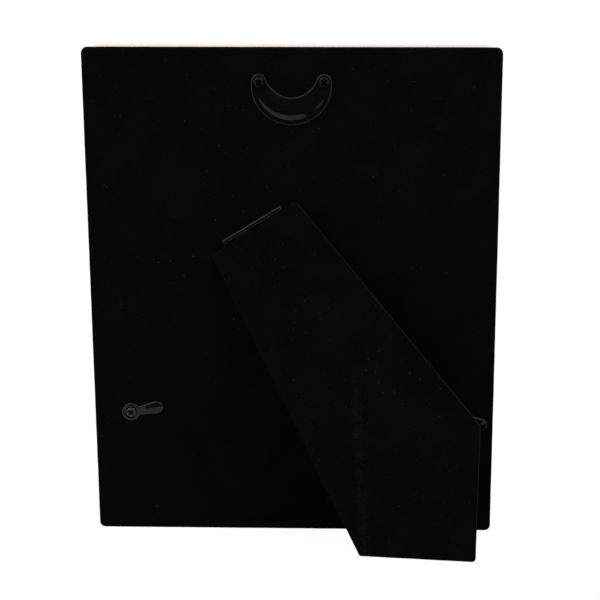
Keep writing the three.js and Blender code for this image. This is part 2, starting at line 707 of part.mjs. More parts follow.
function crescentHanger() {
  const back = SEAT + HANGER_SHEET;
  const horns = HANGER_SCREWS.map((place) => peg(place, HANGER_HORN_RADIUS, SEAT, back));
  const holes = HANGER_SCREWS.map((place) => peg(place, SCREW_SHANK_RADIUS + SEAT, 0, back + PAST));
  return toMesh('crescent_hanger', cut(join(hangerSheet(), ...horns), ...holes), finishes.blackMetal);
}

// Turn buttons: a disc dished round its screw, with an arm that widens to a round tip

function turnButton() {
  const neckAngle = Math.asin(BUTTON_NECK_WIDTH / 2 / BUTTON_DISC_RADIUS);
  const tipCentre = BUTTON_ARM_LENGTH - BUTTON_TIP_RADIUS;
  const outline = new THREE.Shape();
  outline.absarc(0, 0, BUTTON_DISC_RADIUS, neckAngle, 2 * Math.PI - neckAngle);
  outline.absarc(tipCentre, 0, BUTTON_TIP_RADIUS, -Math.PI / 2, Math.PI / 2);
  const back = SEAT + BUTTON_SHEET;
  const floorRadius = SCREW_HEAD_RADIUS + SEAT;
  const flare = (BUTTON_DISH_RADIUS - floorRadius) / BUTTON_DISH_DEPTH;
  const dishHeight = BUTTON_DISH_DEPTH + PAST;
  const mouthRadius = floorRadius + flare * dishHeight;
  const dish = new THREE.CylinderGeometry(mouthRadius, floorRadius, dishHeight, ROUND_STEPS);
  dish.translate(0, back - BUTTON_DISH_DEPTH + dishHeight / 2, 0);
  const hole = peg(new THREE.Vector2(), SCREW_SHANK_RADIUS + SEAT, 0, back + PAST);
  return cut(toSolid(easedSlab(outline, SEAT, back, BUTTON_EDGE, 1)), dish, hole);
}

// Assembly

const hinge = new THREE.Group();
hinge.position.set(HINGE_OFFSET, AXIS_HEIGHT, HINGE_RISE);
hinge.rotation.y = HINGE_TILT;
hinge.add(toMesh('hinge_panel_leaf', hingePanelLeaf(), finishes.steel));
hinge.add(toMesh('hinge_pin', hingePin(), finishes.steel));
RIVET_PLACES.forEach((x, i) => {
  hinge.add(toMesh(`panel_rivet_${SIDE_NAMES[i]}`, toSolid(panelRivet(x, 0)), finishes.steel));
});

const leg = new THREE.Group();
leg.rotation.x = LEG_OPENING;
leg.add(...easelLeg());
hinge.add(leg);

const frame = new THREE.Group();
frame.rotation.x = -LEAN;
frame.add(...frameRails(), frameVelvet(), ...picturePack(), ...backPanel(), hinge, crescentHanger());
HANGER_SCREWS.forEach((place, i) => {
  frame.add(toMesh(`hanger_screw_${SIDE_NAMES[i]}`, screw(place, HANGER_SCREW_SEAT), finishes.blackMetal));
});
// Both arms point to the right: the left one in over the panel, the right one swung clear of it.
const armTurns = [Math.PI + LEFT_BUTTON_RAISED, Math.PI - RIGHT_BUTTON_LOWERED];
BUTTON_SCREWS.forEach((place, i) => {
  const button = toMesh(`turn_button_${SIDE_NAMES[i]}`, turnButton(), finishes.blackMetal);
  button.position.set(place.x, 0, place.y);
  button.rotation.y = armTurns[i];
  const pivot = screw(place, BUTTON_SCREW_SEAT);
  frame.add(button, toMesh(`turn_button_screw_${SIDE_NAMES[i]}`, pivot, finishes.blackMetal));
});

// The origin is under the middle of the whole object, on the table.
const pictureFrame = new THREE.Group();
pictureFrame.add(frame);
const bounds = new THREE.Box3().setFromObject(pictureFrame, true);
frame.position.y = -(bounds.min.y + bounds.max.y) / 2;
frame.position.z = -bounds.min.z;

export default pictureFrame;
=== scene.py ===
"""Dresses a velvet-backed photo frame on its easel leg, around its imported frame, and sets its stage."""
import json
import math
from collections import namedtuple
from functools import wraps

import bmesh
import bpy
import numpy as np
from bpy.props import FloatProperty, FloatVectorProperty, IntProperty, PointerProperty
from mathutils import Matrix, Vector, noise
from mathutils.geometry import delaunay_2d_cdt


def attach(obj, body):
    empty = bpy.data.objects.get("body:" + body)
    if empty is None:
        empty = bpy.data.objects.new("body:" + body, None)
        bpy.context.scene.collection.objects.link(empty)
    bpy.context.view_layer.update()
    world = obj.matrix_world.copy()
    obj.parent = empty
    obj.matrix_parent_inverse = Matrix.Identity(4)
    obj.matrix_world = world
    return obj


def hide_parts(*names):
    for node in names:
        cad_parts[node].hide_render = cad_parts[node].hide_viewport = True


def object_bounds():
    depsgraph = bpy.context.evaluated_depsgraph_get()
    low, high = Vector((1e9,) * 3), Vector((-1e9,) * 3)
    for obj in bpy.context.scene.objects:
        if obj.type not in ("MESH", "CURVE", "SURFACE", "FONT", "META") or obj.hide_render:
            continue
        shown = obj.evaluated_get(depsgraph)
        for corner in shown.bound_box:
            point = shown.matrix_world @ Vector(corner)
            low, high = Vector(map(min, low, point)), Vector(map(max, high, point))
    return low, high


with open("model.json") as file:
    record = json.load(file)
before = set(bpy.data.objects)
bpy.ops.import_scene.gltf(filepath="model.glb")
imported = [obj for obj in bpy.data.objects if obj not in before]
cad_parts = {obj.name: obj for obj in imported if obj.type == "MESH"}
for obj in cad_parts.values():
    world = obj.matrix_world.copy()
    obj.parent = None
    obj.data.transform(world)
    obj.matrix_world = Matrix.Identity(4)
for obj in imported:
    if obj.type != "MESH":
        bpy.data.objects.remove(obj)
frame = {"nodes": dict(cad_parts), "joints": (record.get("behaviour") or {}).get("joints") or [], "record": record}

bl_info = {
    "name": "Photo frame",
    "version": (1, 0, 0),
    "blender": (4, 5, 0),
    "location": "View3D > Sidebar > Photo frame",
    "description": "Dresses a velvet-backed photo frame and sets it on a white stage",
    "category": "Object",
}

CAD_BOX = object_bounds()
SIDES = ("left", "right")

# How finely round shapes are cut
ARC_STEP = math.radians(9)
EDGE_STEPS = 5
ROUND_STEPS = 48
SMOOTH_ANGLE = math.radians(32)

QUARTER_TURN = math.pi / 2

# Lengths up to this many metres count as none
NO_LENGTH = 1e-7


# Sizes, colours and stage settings that a user would change


def metres(name, description, default):
    return FloatProperty(name=name, description=description, default=default, unit="LENGTH", precision=5)


def colour(name, description, default):
    return FloatVectorProperty(
        name=name, description=description, default=default, size=3, subtype="COLOR", min=0, max=1
    )


class PhotoFrameSizes(bpy.types.PropertyGroup):
    """Sizes of what is modelled here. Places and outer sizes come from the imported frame."""

    velvet: metres("Velvet", "Thickness of the velvet with its pile", 0.0006)
    velvet_round: metres("Velvet edge", "Radius of the velvet over an edge", 0.0008)
    seam_round: metres("Seam edge", "Radius of the velvet at the panel's seam", 0.00064)
    velvet_uneven: metres("Velvet unevenness", "How far the velvet swells and dips", 0.00005)
    glue_line: metres("Glue line", "Gap between the velvet and what it covers", 0.00025)
    seat: metres("Seat", "Gap between a piece and its seat", 0.0003)
    panel_seam: metres("Panel seam", "Gap round the back panel", 0.0004)
    seam_pile: metres("Seam pile", "How far the pile on each side closes the seam", 0.00014)
    panel_corner: metres("Panel corner", "Corner radius of the velvet panel", 0.0014)
    frame_corner: metres("Frame corner", "Corner radius of the frame's back", 0.003)
    front_corner: metres("Front corner", "Corner radius of the rails' front", 0.009)
    rail_round: metres("Rail nose", "Radius of the rails' outer front edge", 0.0076)
    sight_overlap: metres("Sight overlap", "How far the rails cover the glass", 0.003)
    sight_chamfer: metres("Sight chamfer", "Bevel round the sight opening", 0.002)
    glass_play: metres("Glass play", "Gap round the glass", 0.0008)
    mitre_gap: metres("Mitre gap", "Hairline gap in each mitre", 0.00015)
    leg_corner: metres("Leg corner", "Corner radius of the leg", 0.0014)
    leg_round: metres("Leg edge", "Radius of the velvet over the leg's edges", 0.00065)
    hinge_bar_width: metres("Hinge bar width", "Width of the hinge's flattened barrel", 0.0018)
    hinge_bar_height: metres("Hinge bar height", "Height of the hinge's flattened barrel", 0.0022)
    hinge_bar_round: metres("Hinge bar edge", "Radius of the barrel's edges", 0.0004)
    hinge_leaf: metres("Hinge leaf", "Thickness of the hinge's leaves", 0.0006)
    knuckle_gap: metres("Knuckle gap", "Gap between two knuckles", 0.00006)
    knuckles: IntProperty(name="Knuckles", description="Number of hinge knuckles", default=5, min=3)
    hanger_dip: metres("Hanger dip", "From the screws down to the inner arc", 0.0074)
    hanger_sheet: metres("Hanger sheet", "Thickness of the pressed sheet", 0.0009)
    hanger_edge: metres("Hanger edge", "Radius of the sheet's edge", 0.00042)
    hanger_rim: metres("Hanger rim", "Width of the flat rim", 0.0024)
    hanger_slope: FloatProperty(
        name="Hanger slope", description="Slope of the pocket's wall",
        default=math.radians(29), subtype="ANGLE",
    )
    hanger_fade: metres("Hanger fade", "Length over which the pocket fades into a horn", 0.018)
    button_sheet: metres("Button sheet", "Thickness of the turn button", 0.001)
    button_edge: metres("Button edge", "Radius of the turn button's edge", 0.0004)
    button_disc: metres("Button disc", "Radius of the turn button's disc", 0.00475)
    button_arm: metres("Button arm", "From the pivot to the arm's tip", 0.0167)
    button_tip: metres("Button tip", "Radius of the arm's tip", 0.0034)
    button_neck: metres("Button neck", "Width of the arm where it leaves the disc", 0.0046)
    button_fillet: metres("Button fillet", "Radius between the disc and the arm", 0.0012)
    button_ridge: metres("Button ridge", "Height of the ridge along the arm", 0.0008)
    button_crease: metres("Button crease", "How far the ridge lies off the arm's middle", 0.0006)
    button_droop: metres("Button droop", "How far the disc falls away to its edge", 0.0002)
    button_dish: metres("Button dish", "Radius of the dish round the screw", 0.0034)
    button_dish_depth: metres("Button dish depth", "Depth of the dish round the screw", 0.0004)
    screw_head: metres("Screw head", "Radius of a screw's head", 0.0025)
    screw_edge: metres("Screw head edge", "Height of the head's upright edge", 0.0004)
    screw_dome: metres("Screw dome", "Height of the head's dome", 0.0008)
    screw_shank: metres("Screw shank", "Radius of a screw's shank", 0.0012)
    screw_hole: metres("Screw hole", "Radius of the holes for the screws", 0.0015)
    recess_length: metres("Recess length", "Length of the cross recess", 0.0044)
    recess_width: metres("Recess width", "Width of the cross recess", 0.00095)
    recess_depth: metres("Recess depth", "Depth of the cross recess", 0.0011)


class PhotoFrameFinishes(bpy.types.PropertyGroup):
    """Colours of the finishes."""

    velvet_deep: colour("Velvet, deep", "Pile seen end on", (0.0013, 0.0013, 0.0013))
    velvet_brushed: colour("Velvet, brushed", "Pile laid over", (0.0031, 0.0031, 0.0031))
    # Pile painted paler along the edges: partly rubbing, partly a painted sheen
    velvet_rubbed_and_sheen: colour("Velvet, rubbed", "Pile rubbed along the edges", (0.0120, 0.0120, 0.0120))
    velvet_streak: colour("Velvet, streak", "Pile brushed pale down the leg", (0.0044, 0.0044, 0.0044))
    lint: colour("Lint", "Dust and fibres on the velvet", (0.048, 0.047, 0.044))
    enamel: colour("Enamel", "Black enamel", (0.0021, 0.0021, 0.0021))
    # Enamel painted paler along its edges: partly wear, partly a painted highlight
    enamel_worn_and_highlight: colour("Worn enamel", "Enamel worn along its edges", (0.014, 0.014, 0.014))
    enamel_shine: colour("Enamel shine", "Tint of the enamel's shine", (1.0, 0.98, 0.70))
    worn_shine: colour("Worn shine", "Tint of the shine where the enamel has worn", (0.52, 0.52, 0.52))
    # Hinge painted paler along the barrel's edges and ends: partly bared steel, partly painted highlight lines
    hinge_worn_and_highlight: colour("Worn hinge", "Hinge steel bared along the barrel", (0.046, 0.046, 0.041))
    screw_black: colour("Black screw", "Black oxide on steel", (0.020, 0.020, 0.019))
    screw_bare: colour("Bare screw", "Screw steel where the oxide has rubbed off", (0.090, 0.088, 0.078))
    # A painted shade inside each screw's cross recess
    recess: colour("Recess", "Dark inside a screw's recess", (0.0008, 0.0008, 0.0008))
    steel: colour("Steel", "Zinc-plated steel", (0.42, 0.42, 0.43))
    steel_dull: colour("Dull steel", "Steel that has gone dull", (0.20, 0.20, 0.21))
    cream: colour("Cream", "Cream lacquer", (0.888, 0.738, 0.617))
    cream_shade: colour("Cream shade", "Cream lacquer over the wood's grain", (0.80, 0.63, 0.50))
    # Near-black colour on the rabbet's ledge and wall, which shows down the panel's seam
    rabbet: colour("Rabbet", "Black stain inside the rabbet", (0.006, 0.006, 0.006))
    glass_tint: colour("Glass tint", "Faint green of float glass", (0.988, 0.996, 0.992))
    paper: colour("Paper", "White insert sheet", (0.87, 0.86, 0.82))
    card: colour("Card", "Corrugated card", (0.43, 0.26, 0.11))
    hardboard: colour("Hardboard", "Bare hardboard", (0.15, 0.08, 0.04))
    black_paper: colour("Black paper", "Black lining paper", (0.010, 0.010, 0.010))


class PhotoFrameStage(bpy.types.PropertyGroup):
    """The camera's place and the studio's lights."""

    camera_place: FloatVectorProperty(
        name="Camera place", description="Where the camera stands", default=(-0.03721, 0.99138, 0.20824),
        size=3, subtype="TRANSLATION", unit="LENGTH",
    )
    camera_pitch: FloatProperty(
        name="Camera pitch", description="How far the camera looks down",
        default=math.radians(4.940), subtype="ANGLE",
    )
    camera_heading: FloatProperty(
        name="Camera heading", description="How far the camera turns from looking along -Y",
        default=math.radians(1.939), subtype="ANGLE",
    )
    camera_roll: FloatProperty(
        name="Camera roll", description="Turn of the camera about its line of sight",
        default=math.radians(0.186), subtype="ANGLE",
    )
    camera_lens: FloatProperty(
        name="Camera lens", description="Focal length in millimetres on a 36 mm sensor",
        default=119.54, unit="CAMERA",
    )
    room_light: FloatProperty(name="Room light", description="Even light from all round", default=0.46, min=0)
    top_light: FloatProperty(
        name="Top light", description="Power of the softbox overhead", default=2.0, unit="POWER"
    )
    fill_light: FloatProperty(
        name="Fill light", description="Power of each softbox beside the camera", default=20, unit="POWER"
    )


def sizes():
    return bpy.context.scene.photo_frame_sizes


def finishes():
    return bpy.context.scene.photo_frame_finishes


# Frames of reference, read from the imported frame


def axes_matrix(x_axis, y_axis, origin):
    """A frame of reference with its z axis square to the two given axes."""
    turn = Matrix((x_axis, y_axis, x_axis.cross(y_axis))).transposed()
    return Matrix.Translation(origin) @ turn.to_4x4()


def joint(name):
    return next(entry for entry in frame["joints"] if entry["name"] == name)


def face_frame():
    """x across the frame, y out of its back, z up its back, from its lower back edge on the table."""
    mount = next(entry for entry in frame["record"]["mounts"] if entry["name"] == "back_face")
    across = Vector((1, 0, 0))
    out = Vector(mount["axis"]).normalized()
    up = across.cross(out)
    place = Vector(mount["pos_m"])
    return axes_matrix(across, out, place - up * (place.z / up.z))


def leg_frame():
    """x along the hinge, y out of the leg's back, z up the leg, from the hinge's axis."""
    hinge = joint("leg_swing")
    broad = max(frame["nodes"]["leg_lining"].data.polygons, key=lambda polygon: polygon.area).normal
    out = broad if broad.y > 0 else -broad
    return axes_matrix(-Vector(hinge["axis"]).normalized(), out, Vector(hinge["pos_m"]))


FACE = face_frame()
LEG = leg_frame()
FACE_OUT = FACE.col[1].xyz
HINGE = axes_matrix(LEG.col[0].xyz, FACE_OUT, LEG.translation)


def points_in(node, into):
    """A CAD node's points in the axes of a frame of reference, one row each."""
    turned = into.inverted()
    return np.array([turned @ vertex.co for vertex in frame["nodes"][node].data.vertices])


def span(node, into=FACE):
    """Lowest and highest corner of a CAD node in the axes of a frame of reference."""
    points = points_in(node, into)
    return Vector(points.min(0)), Vector(points.max(0))


def screw_place(node):
    """Where a screw's axis goes through the frame's back, in (x, z)."""
    low, high = span(node)
    return (low.x + high.x) / 2, (low.z + high.z) / 2


# Outlines and sheets

Loop = namedtuple("Loop", "points normals profile")


def belt(circles, spacing):
    """A closed outline that runs counter-clockwise round circles (x, z, radius), as points and normals.

    A circle with a negative radius is passed on its other side, as a hollow in the outline."""
    headings = []
    for here, there in zip(circles, circles[1:] + circles[:1]):
        reach = Vector((there[0] - here[0], there[1] - here[1]))
        lean = (here[2] - there[2]) / reach.length
        headings.append(math.atan2(reach.y, reach.x) + math.asin(max(-1, min(1, lean))))
    points, normals = [], []
    for i, (x, z, radius) in enumerate(circles):
        start = headings[i - 1]
        turn = (headings[i] - start) % math.tau
        if radius < 0:
            turn -= math.tau
        steps = math.ceil(max(abs(turn) / ARC_STEP, abs(turn * radius) / spacing))
        for k in range(steps + 1):
            heading = start + turn * k / steps
            normal = Vector((math.sin(heading), -math.cos(heading)))
            points.append(Vector((x, z)) + normal * radius)
            normals.append(normal)
        next_x, next_z, next_radius = circles[(i + 1) % len(circles)]
        run = Vector((next_x, next_z)) + normal * next_radius - points[-1]
        if run.length < NO_LENGTH:
            points.pop()
            normals.pop()
            continue
        pieces = max(1, round(run.length / spacing))
        first = points[-1]
        for k in range(1, pieces):
            points.append(first + run * (k / pieces))
            normals.append(normal)
    return np.array(points), np.array(normals)


def ring(x, z, radius):
    """A round hole's outline, whose normals point into the hole."""
    angles = np.linspace(0, math.tau, ROUND_STEPS // 2, endpoint=False)
    outward = np.stack([np.cos(angles), np.sin(angles)], axis=1)
    return np.array([x, z]) + radius * outward, -outward


def rounded_rectangle(low_x, low_z, high_x, high_z, radius):
    """The circles of a belt that has this outline."""
    left, right = low_x + radius, high_x - radius
    low, high = low_z + radius, high_z - radius
    return [(right, low, radius), (right, high, radius), (left, high, radius), (left, low, radius)]


def arc_profile(centre, radius, start, end, wear_and_light=1.0):
    """Points (offset, level, share of painted wear and light) along an arc of an edge, at angles from straight out
    of the edge.
    """
    angles = [start + (end - start) * k / EDGE_STEPS for k in range(EDGE_STEPS + 1)]
    return [
        (centre[0] + radius * math.cos(angle), centre[1] + radius * math.sin(angle), wear_and_light)
        for angle in angles
    ]


def rounded_edge(front, back, radius):
    """The profile of a sheet's edge that is rounded at both faces."""
    support = -2 * radius
    # Both rounded arcs are painted pale in full: wear with a painted highlight on enamel, wear with a painted
    # sheen on velvet
    return [
        (support, back, 0.0),
        *arc_profile((-radius, back - radius), radius, QUARTER_TURN, 0),
        *arc_profile((-radius, front + radius), radius, 0, -QUARTER_TURN),
        (support, front, 0.0),
    ]


# How pale cloth is painted down its sides, as rubbing and a painted sheen, as a share of its edge, and where its
# flat starts, in edge radii
SIDE_WEAR_AND_SHEEN = 0.1
FLAT_START = 1.1


def wrapped_edge(back, depth, radius, thickness, spacing, wear_and_light=1.0):
    """The profile of cloth that goes over an edge and down its side, and back along its own inner face."""
    centre = (-radius, back - radius)
    lip = thickness / 2
    end = back - depth + lip
    support = -FLAT_START * radius
    runs = max(1, round((back - radius - end) / spacing))
    wall = [back - radius + (end - back + radius) * k / runs for k in range(1, runs)]
    over = arc_profile(centre, radius, QUARTER_TURN, 0)
    # The cloth is painted paler more and more from its face to the edge's outermost place, as rubbing and a
    # painted sheen
    return [
        (support, back, 0.0),
        *[(*place, wear_and_light * (k / EDGE_STEPS) ** 2) for k, (*place, _) in enumerate(over)],
        *[(0.0, level, SIDE_WEAR_AND_SHEEN * wear_and_light) for level in wall],
        *arc_profile((-lip, end), lip, 0, -math.pi, SIDE_WEAR_AND_SHEEN * wear_and_light),
        *[(-thickness, level, 0.0) for level in reversed(wall)],
        *arc_profile(centre, radius - thickness, 0, QUARTER_TURN, 0.0),
        (support, back - thickness, 0.0),
    ]


def inside(points, rims):
    """Which points lie inside the region that the closed rims bound."""
    found = np.zeros(len(points), dtype=bool)
    for rim in rims:
        x, z = rim.T
        next_x, next_z = np.roll(rim, -1, axis=0).T
        for px, pz, qx, qz in zip(x, z, next_x, next_z):
            crosses = (pz > points[:, 1]) != (qz > points[:, 1])
            if pz != qz:
                at = px + (points[:, 1] - pz) * (qx - px) / (qz - pz)
                found ^= crosses & (points[:, 0] < at)
    return found


# Between staggered rows of points, and between them and a rim, in distances between two points of a row
ROW_PITCH = math.sqrt(0.75)
RIM_CLEARANCE = 0.6


def scattered_inside(rims, cell):
    """Points in staggered rows, one cell apart, that keep clear of the rims."""
    border = np.concatenate(rims)
    low, high = border.min(0), border.max(0)
    rows = []
    pitch = cell * ROW_PITCH
    for i, z in enumerate(np.arange(low[1] + pitch / 2, high[1], pitch)):
        x = np.arange(low[0] + cell / 2 * (1 + i % 2), high[0], cell)
        rows.append(np.stack([x, np.full_like(x, z)], axis=1))
    points = np.concatenate(rows) if rows else np.empty((0, 2))
    points = points[inside(points, rims)]
    apart = [np.hypot(*(border - point).T).min() > cell * RIM_CLEARANCE for point in points]
    return points[np.array(apart, dtype=bool)]


def single(points):
    """The points as single-precision vectors hold them."""
    return points.astype(np.float32).astype(float)


def triangles_between(rims, loose):
    """Triangles over the region between the rims, as places in the list of rim points and loose points."""
    rims = [single(rim) for rim in rims]
    plan = np.concatenate([*rims, single(loose)])
    edges = []
    start = 0
    for rim in rims:
        count = len(rim)
        edges += [(start + k, start + (k + 1) % count) for k in range(count)]
        start += count
    _, _, faces, sources, _, _ = delaunay_2d_cdt([Vector(p) for p in plan], edges, [], 0, NO_LENGTH)
    if any(len(source) != 1 for source in sources):
        raise RuntimeError("an outline crosses itself or another one")
    found = [[sources[corner][0] for corner in face] for face in faces]
    a, b, c = (plan[[face[k] for face in found]] for k in range(3))
    keep = inside((a + b + c) / 3, rims)
    return [face for face, kept in zip(found, keep) if kept]


def bridge(bm, rows):
    """Faces between closed rows of points that follow each other."""
    for row, next_row in zip(rows, rows[1:]):
        for k in range(len(row)):
            bm.faces.new((row[k - 1], row[k], next_row[k], next_row[k - 1]))


def sheet_mesh(loops, cell, relief=None):
    """A closed sheet in (x, level, z). A loop's profile runs from the back over the edge to the front."""
    bm = bmesh.new()
    # Each point carries how pale it is painted: wear with a painted sheen on velvet, wear with a painted highlight
    # on enamel
    wear_and_light_share = bm.verts.layers.float.new("wear_and_light_share")
    lift = relief or (lambda x, z: 0)

    def add_row(plan, level, wear_and_light):
        row = [bm.verts.new((x, level + lift(x, z), z)) for x, z in plan]
        for vert in row:
            vert[wear_and_light_share] = wear_and_light
        return row

    rims, back_row, front_row = [], [], []
    for loop in loops:
        rows = [add_row(loop.points + loop.normals * offset, *rest) for offset, *rest in loop.profile]
        bridge(bm, rows)
        rims.append(loop.points + loop.normals * loop.profile[0][0])
        back_row += rows[0]
        front_row += rows[-1]
    loose = scattered_inside(rims, cell)
    back_row += add_row(loose, loops[0].profile[0][1], 0.0)
    front_row += add_row(loose, loops[0].profile[-1][1], 0.0)
    for a, b, c in triangles_between(rims, loose):
        bm.faces.new((back_row[a], back_row[b], back_row[c]))
        bm.faces.new((front_row[c], front_row[b], front_row[a]))
    if not all(edge.is_manifold for edge in bm.edges):
        raise RuntimeError("a sheet isn't closed")
    bmesh.ops.recalc_face_normals(bm, faces=bm.faces)
    return bm


def lathe_mesh(profile):
    """A solid of revolution about the y axis from (radius, level) pairs that start and end on the axis."""
    bm = bmesh.new()
    rows = []
    for radius, level in profile:
        if radius == 0:
            rows.append([bm.verts.new((0, level, 0))])
            continue
        angles = [math.tau * k / ROUND_STEPS for k in range(ROUND_STEPS)]
        rows.append([bm.verts.new((radius * math.cos(a), level, radius * math.sin(a))) for a in angles])
    for row, next_row in zip(rows, rows[1:]):
        for k in range(ROUND_STEPS):
            corners = [row[k - 1], row[k]] if len(row) > 1 else [row[0]]
            corners += [next_row[k], next_row[k - 1]] if len(next_row) > 1 else [next_row[0]]
            bm.faces.new(corners)
    bmesh.ops.recalc_face_normals(bm, faces=bm.faces)
    return bm


def box_mesh(low, high, ease=0.0):
    """A box between two corners, whose edges are bevelled where an ease is given."""
    bm = bmesh.new()
    size = Vector(high) - Vector(low)
    place = Matrix.Translation((Vector(low) + Vector(high)) / 2) @ Matrix.Diagonal((*size, 1))
    bmesh.ops.create_cube(bm, size=1, matrix=place)
    if ease:
        bmesh.ops.bevel(bm, geom=bm.edges, offset=ease, segments=2, profile=0.5, affect="EDGES")
    return bm


def smooth(mesh):
    """Shades a mesh smooth, but for its sharp edges."""
    mesh.shade_smooth()
    mesh.set_sharp_from_angle(angle=SMOOTH_ANGLE)


def add_object(name, bm, into):
    """Turns a mesh that was drawn in a frame of reference into an object in the scene."""
    bm.transform(into)
    mesh = bpy.data.meshes.new(name)
    bm.to_mesh(mesh)
    bm.free()
    smooth(mesh)
    piece = bpy.data.objects.new(name, mesh)
    bpy.context.scene.collection.objects.link(piece)
    return piece


def combine(piece, other, operation):
    """Joins another object to a piece or cuts it out of the piece, and removes the other object."""
    change = piece.modifiers.new("combine", "BOOLEAN")
    change.object = other
    change.operation = operation
    change.solver = "EXACT"
    shown = piece.evaluated_get(bpy.context.evaluated_depsgraph_get())
    mesh = bpy.data.meshes.new_from_object(shown)
    piece.modifiers.clear()
    piece.data = mesh
    smooth(mesh)
    bpy.data.objects.remove(other)


def mark(mesh, name, into, marked):
    """Lets a mesh carry, under a name, 1 at the points whose place is marked and 0 at the others."""
    shares = mesh.attributes.new(name, "FLOAT", "POINT")
    turned = into.inverted()
    for vert in mesh.vertices:
        shares.data[vert.index].value = float(marked(*(turned @ vert.co)))


def set_piece(piece, material, slot, body, *nodes):
    """Gives a piece its finish, hides the CAD nodes that it stands for and ties it to its body."""
    piece.data.materials.clear()
    piece.data.materials.append(material)
    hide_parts(*nodes)
    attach(piece, body)


def set_finish(material, *nodes):
    """Gives CAD nodes whose shape stays as it is a finish."""
    for node in nodes:
        cad = frame["nodes"][node]
        cad.data.materials.clear()
        cad.data.materials.append(material)


# Materials

# Where most of a noise pattern's values lie
NOISE_SPAN = (0.3, 0.7)

# The part of a speck that shows in full, as a share of its size
SPECK_CORE = 0.4

# Places of a mix node's two colours among its inputs, and of their blend among its outputs
MIX_COLOURS = (6, 7)
MIX_BLEND = 2

# Fibres on velvet: how many lie along a metre of each axis, and how they are turned, in radians
FIBRES = (((70, 520, 520), (0, 0.5, 0.3)), ((480, 480, 60), (0.2, -0.6, 0)))

# A pale band in velvet: its middle at the table, its lean, half its width and the heights where it fades
Streak = namedtuple("Streak", "across lean half_width fades_from fades_to")


def set_input(tree, socket, value):
    """Links another node's output to a socket, or gives the socket a plain value."""
    if isinstance(value, bpy.types.NodeSocket):
        tree.links.new(value, socket)
    else:
        socket.default_value = value


def add_node(tree, kind, **inputs):
    """A node with its input values; an output of another node among the values is linked."""
    node = tree.nodes.new(kind)
    for name, value in inputs.items():
        set_input(tree, node.inputs[name], value)
    return node


def new_finish(name, settings):
    """A new material with uniform shader settings, its node tree, its shader and the object's coordinates."""
    material = bpy.data.materials.new(name)
    material.use_nodes = True
    tree = material.node_tree
    shader = tree.nodes["Principled BSDF"]
    for socket, value in settings.items():
        shader.inputs[socket].default_value = value
    place = tree.nodes.new("ShaderNodeTexCoord").outputs["Object"]
    return material, tree, shader, place


def made_once(make):
    """Lets a finish that has been made under a name serve again."""

    @wraps(make)
    def finish(name, *settings, **named):
        return bpy.data.materials.get(name) or make(name, *settings, **named)

    return finish


def grain(tree, place, scale, detail, distortion=0.0):
    """Noise with that many lumps to a metre."""
    return add_node(
        tree, "ShaderNodeTexNoise", Vector=place, Scale=scale, Detail=detail, Distortion=distortion
    ).outputs["Fac"]


def stretched(tree, place, scale, turn=(0, 0, 0)):
    """Coordinates in lumps to a metre along each axis, for a pattern with a scale of 1."""
    return add_node(
        tree, "ShaderNodeMapping", Vector=place, Scale=scale, Rotation=turn
    ).outputs["Vector"]


def specks(tree, place, scale, size):
    """Dots of a size in cells of the pattern: 1 in a dot and 0 between the dots."""
    cells = add_node(tree, "ShaderNodeTexVoronoi", Vector=place, Scale=scale)
    return between(tree, cells.outputs["Distance"], size, size * SPECK_CORE)


def between(tree, value, low, high, to_low=0.0, to_high=1.0):
    """A value mapped from one range to another, and held at its ends."""
    node = tree.nodes.new("ShaderNodeMapRange")
    node.clamp = True
    names = ("Value", "From Min", "From Max", "To Min", "To Max")
    for name, setting in zip(names, (value, low, high, to_low, to_high)):
        set_input(tree, node.inputs[name], setting)
    return node.outputs["Result"]


def calculate(tree, operation, first, second):
    """An operation on two values, each of them a node's output or a plain number."""
    node = tree.nodes.new("ShaderNodeMath")
    node.operation = operation
    for socket, value in zip(node.inputs, (first, second)):
        set_input(tree, socket, value)
    return node.outputs["Value"]


def blended(tree, share, first, second):
    """One colour blended into another by a share. A colour is a node's output or a plain colour."""
    node = tree.nodes.new("ShaderNodeMix")
    node.data_type = "RGBA"
    tree.links.new(share, node.inputs["Factor"])
    for index, value in zip(MIX_COLOURS, (first, second)):
        linked = isinstance(value, bpy.types.NodeSocket)
        set_input(tree, node.inputs[index], value if linked else (*value, 1))
    return node.outputs[MIX_BLEND]


def roughen(tree, shader, height, distance, strength):
    """A bump of that depth in metres."""
    bump = add_node(tree, "ShaderNodeBump", Height=height, Distance=distance, Strength=strength)
    tree.links.new(bump.outputs["Normal"], shader.inputs["Normal"])


def carried(tree, name):
    """A share that the meshes here carry, point by point, under a name."""
    node = tree.nodes.new("ShaderNodeAttribute")
    node.attribute_name = name
    return node.outputs["Fac"]


def darkened(tint, share):
    return tuple(part * share for part in tint)


def streak_share(tree, place, tufts, streak):
    """1 along the middle of a streak and 0 beside it. The streak leans with height and fades upwards."""
    axes = add_node(tree, "ShaderNodeSeparateXYZ", Vector=place).outputs
    middle = calculate(tree, "ADD", calculate(tree, "MULTIPLY", axes["Z"], streak.lean), streak.across)
    off = calculate(tree, "ABSOLUTE", calculate(tree, "SUBTRACT", axes["X"], middle), 0)
    share = between(tree, off, streak.half_width, streak.half_width / 6)
    share = calculate(tree, "MULTIPLY", share, between(tree, tufts, 0.35, 0.65))
    return calculate(tree, "MULTIPLY", share, between(tree, axes["Z"], streak.fades_to, streak.fades_from))


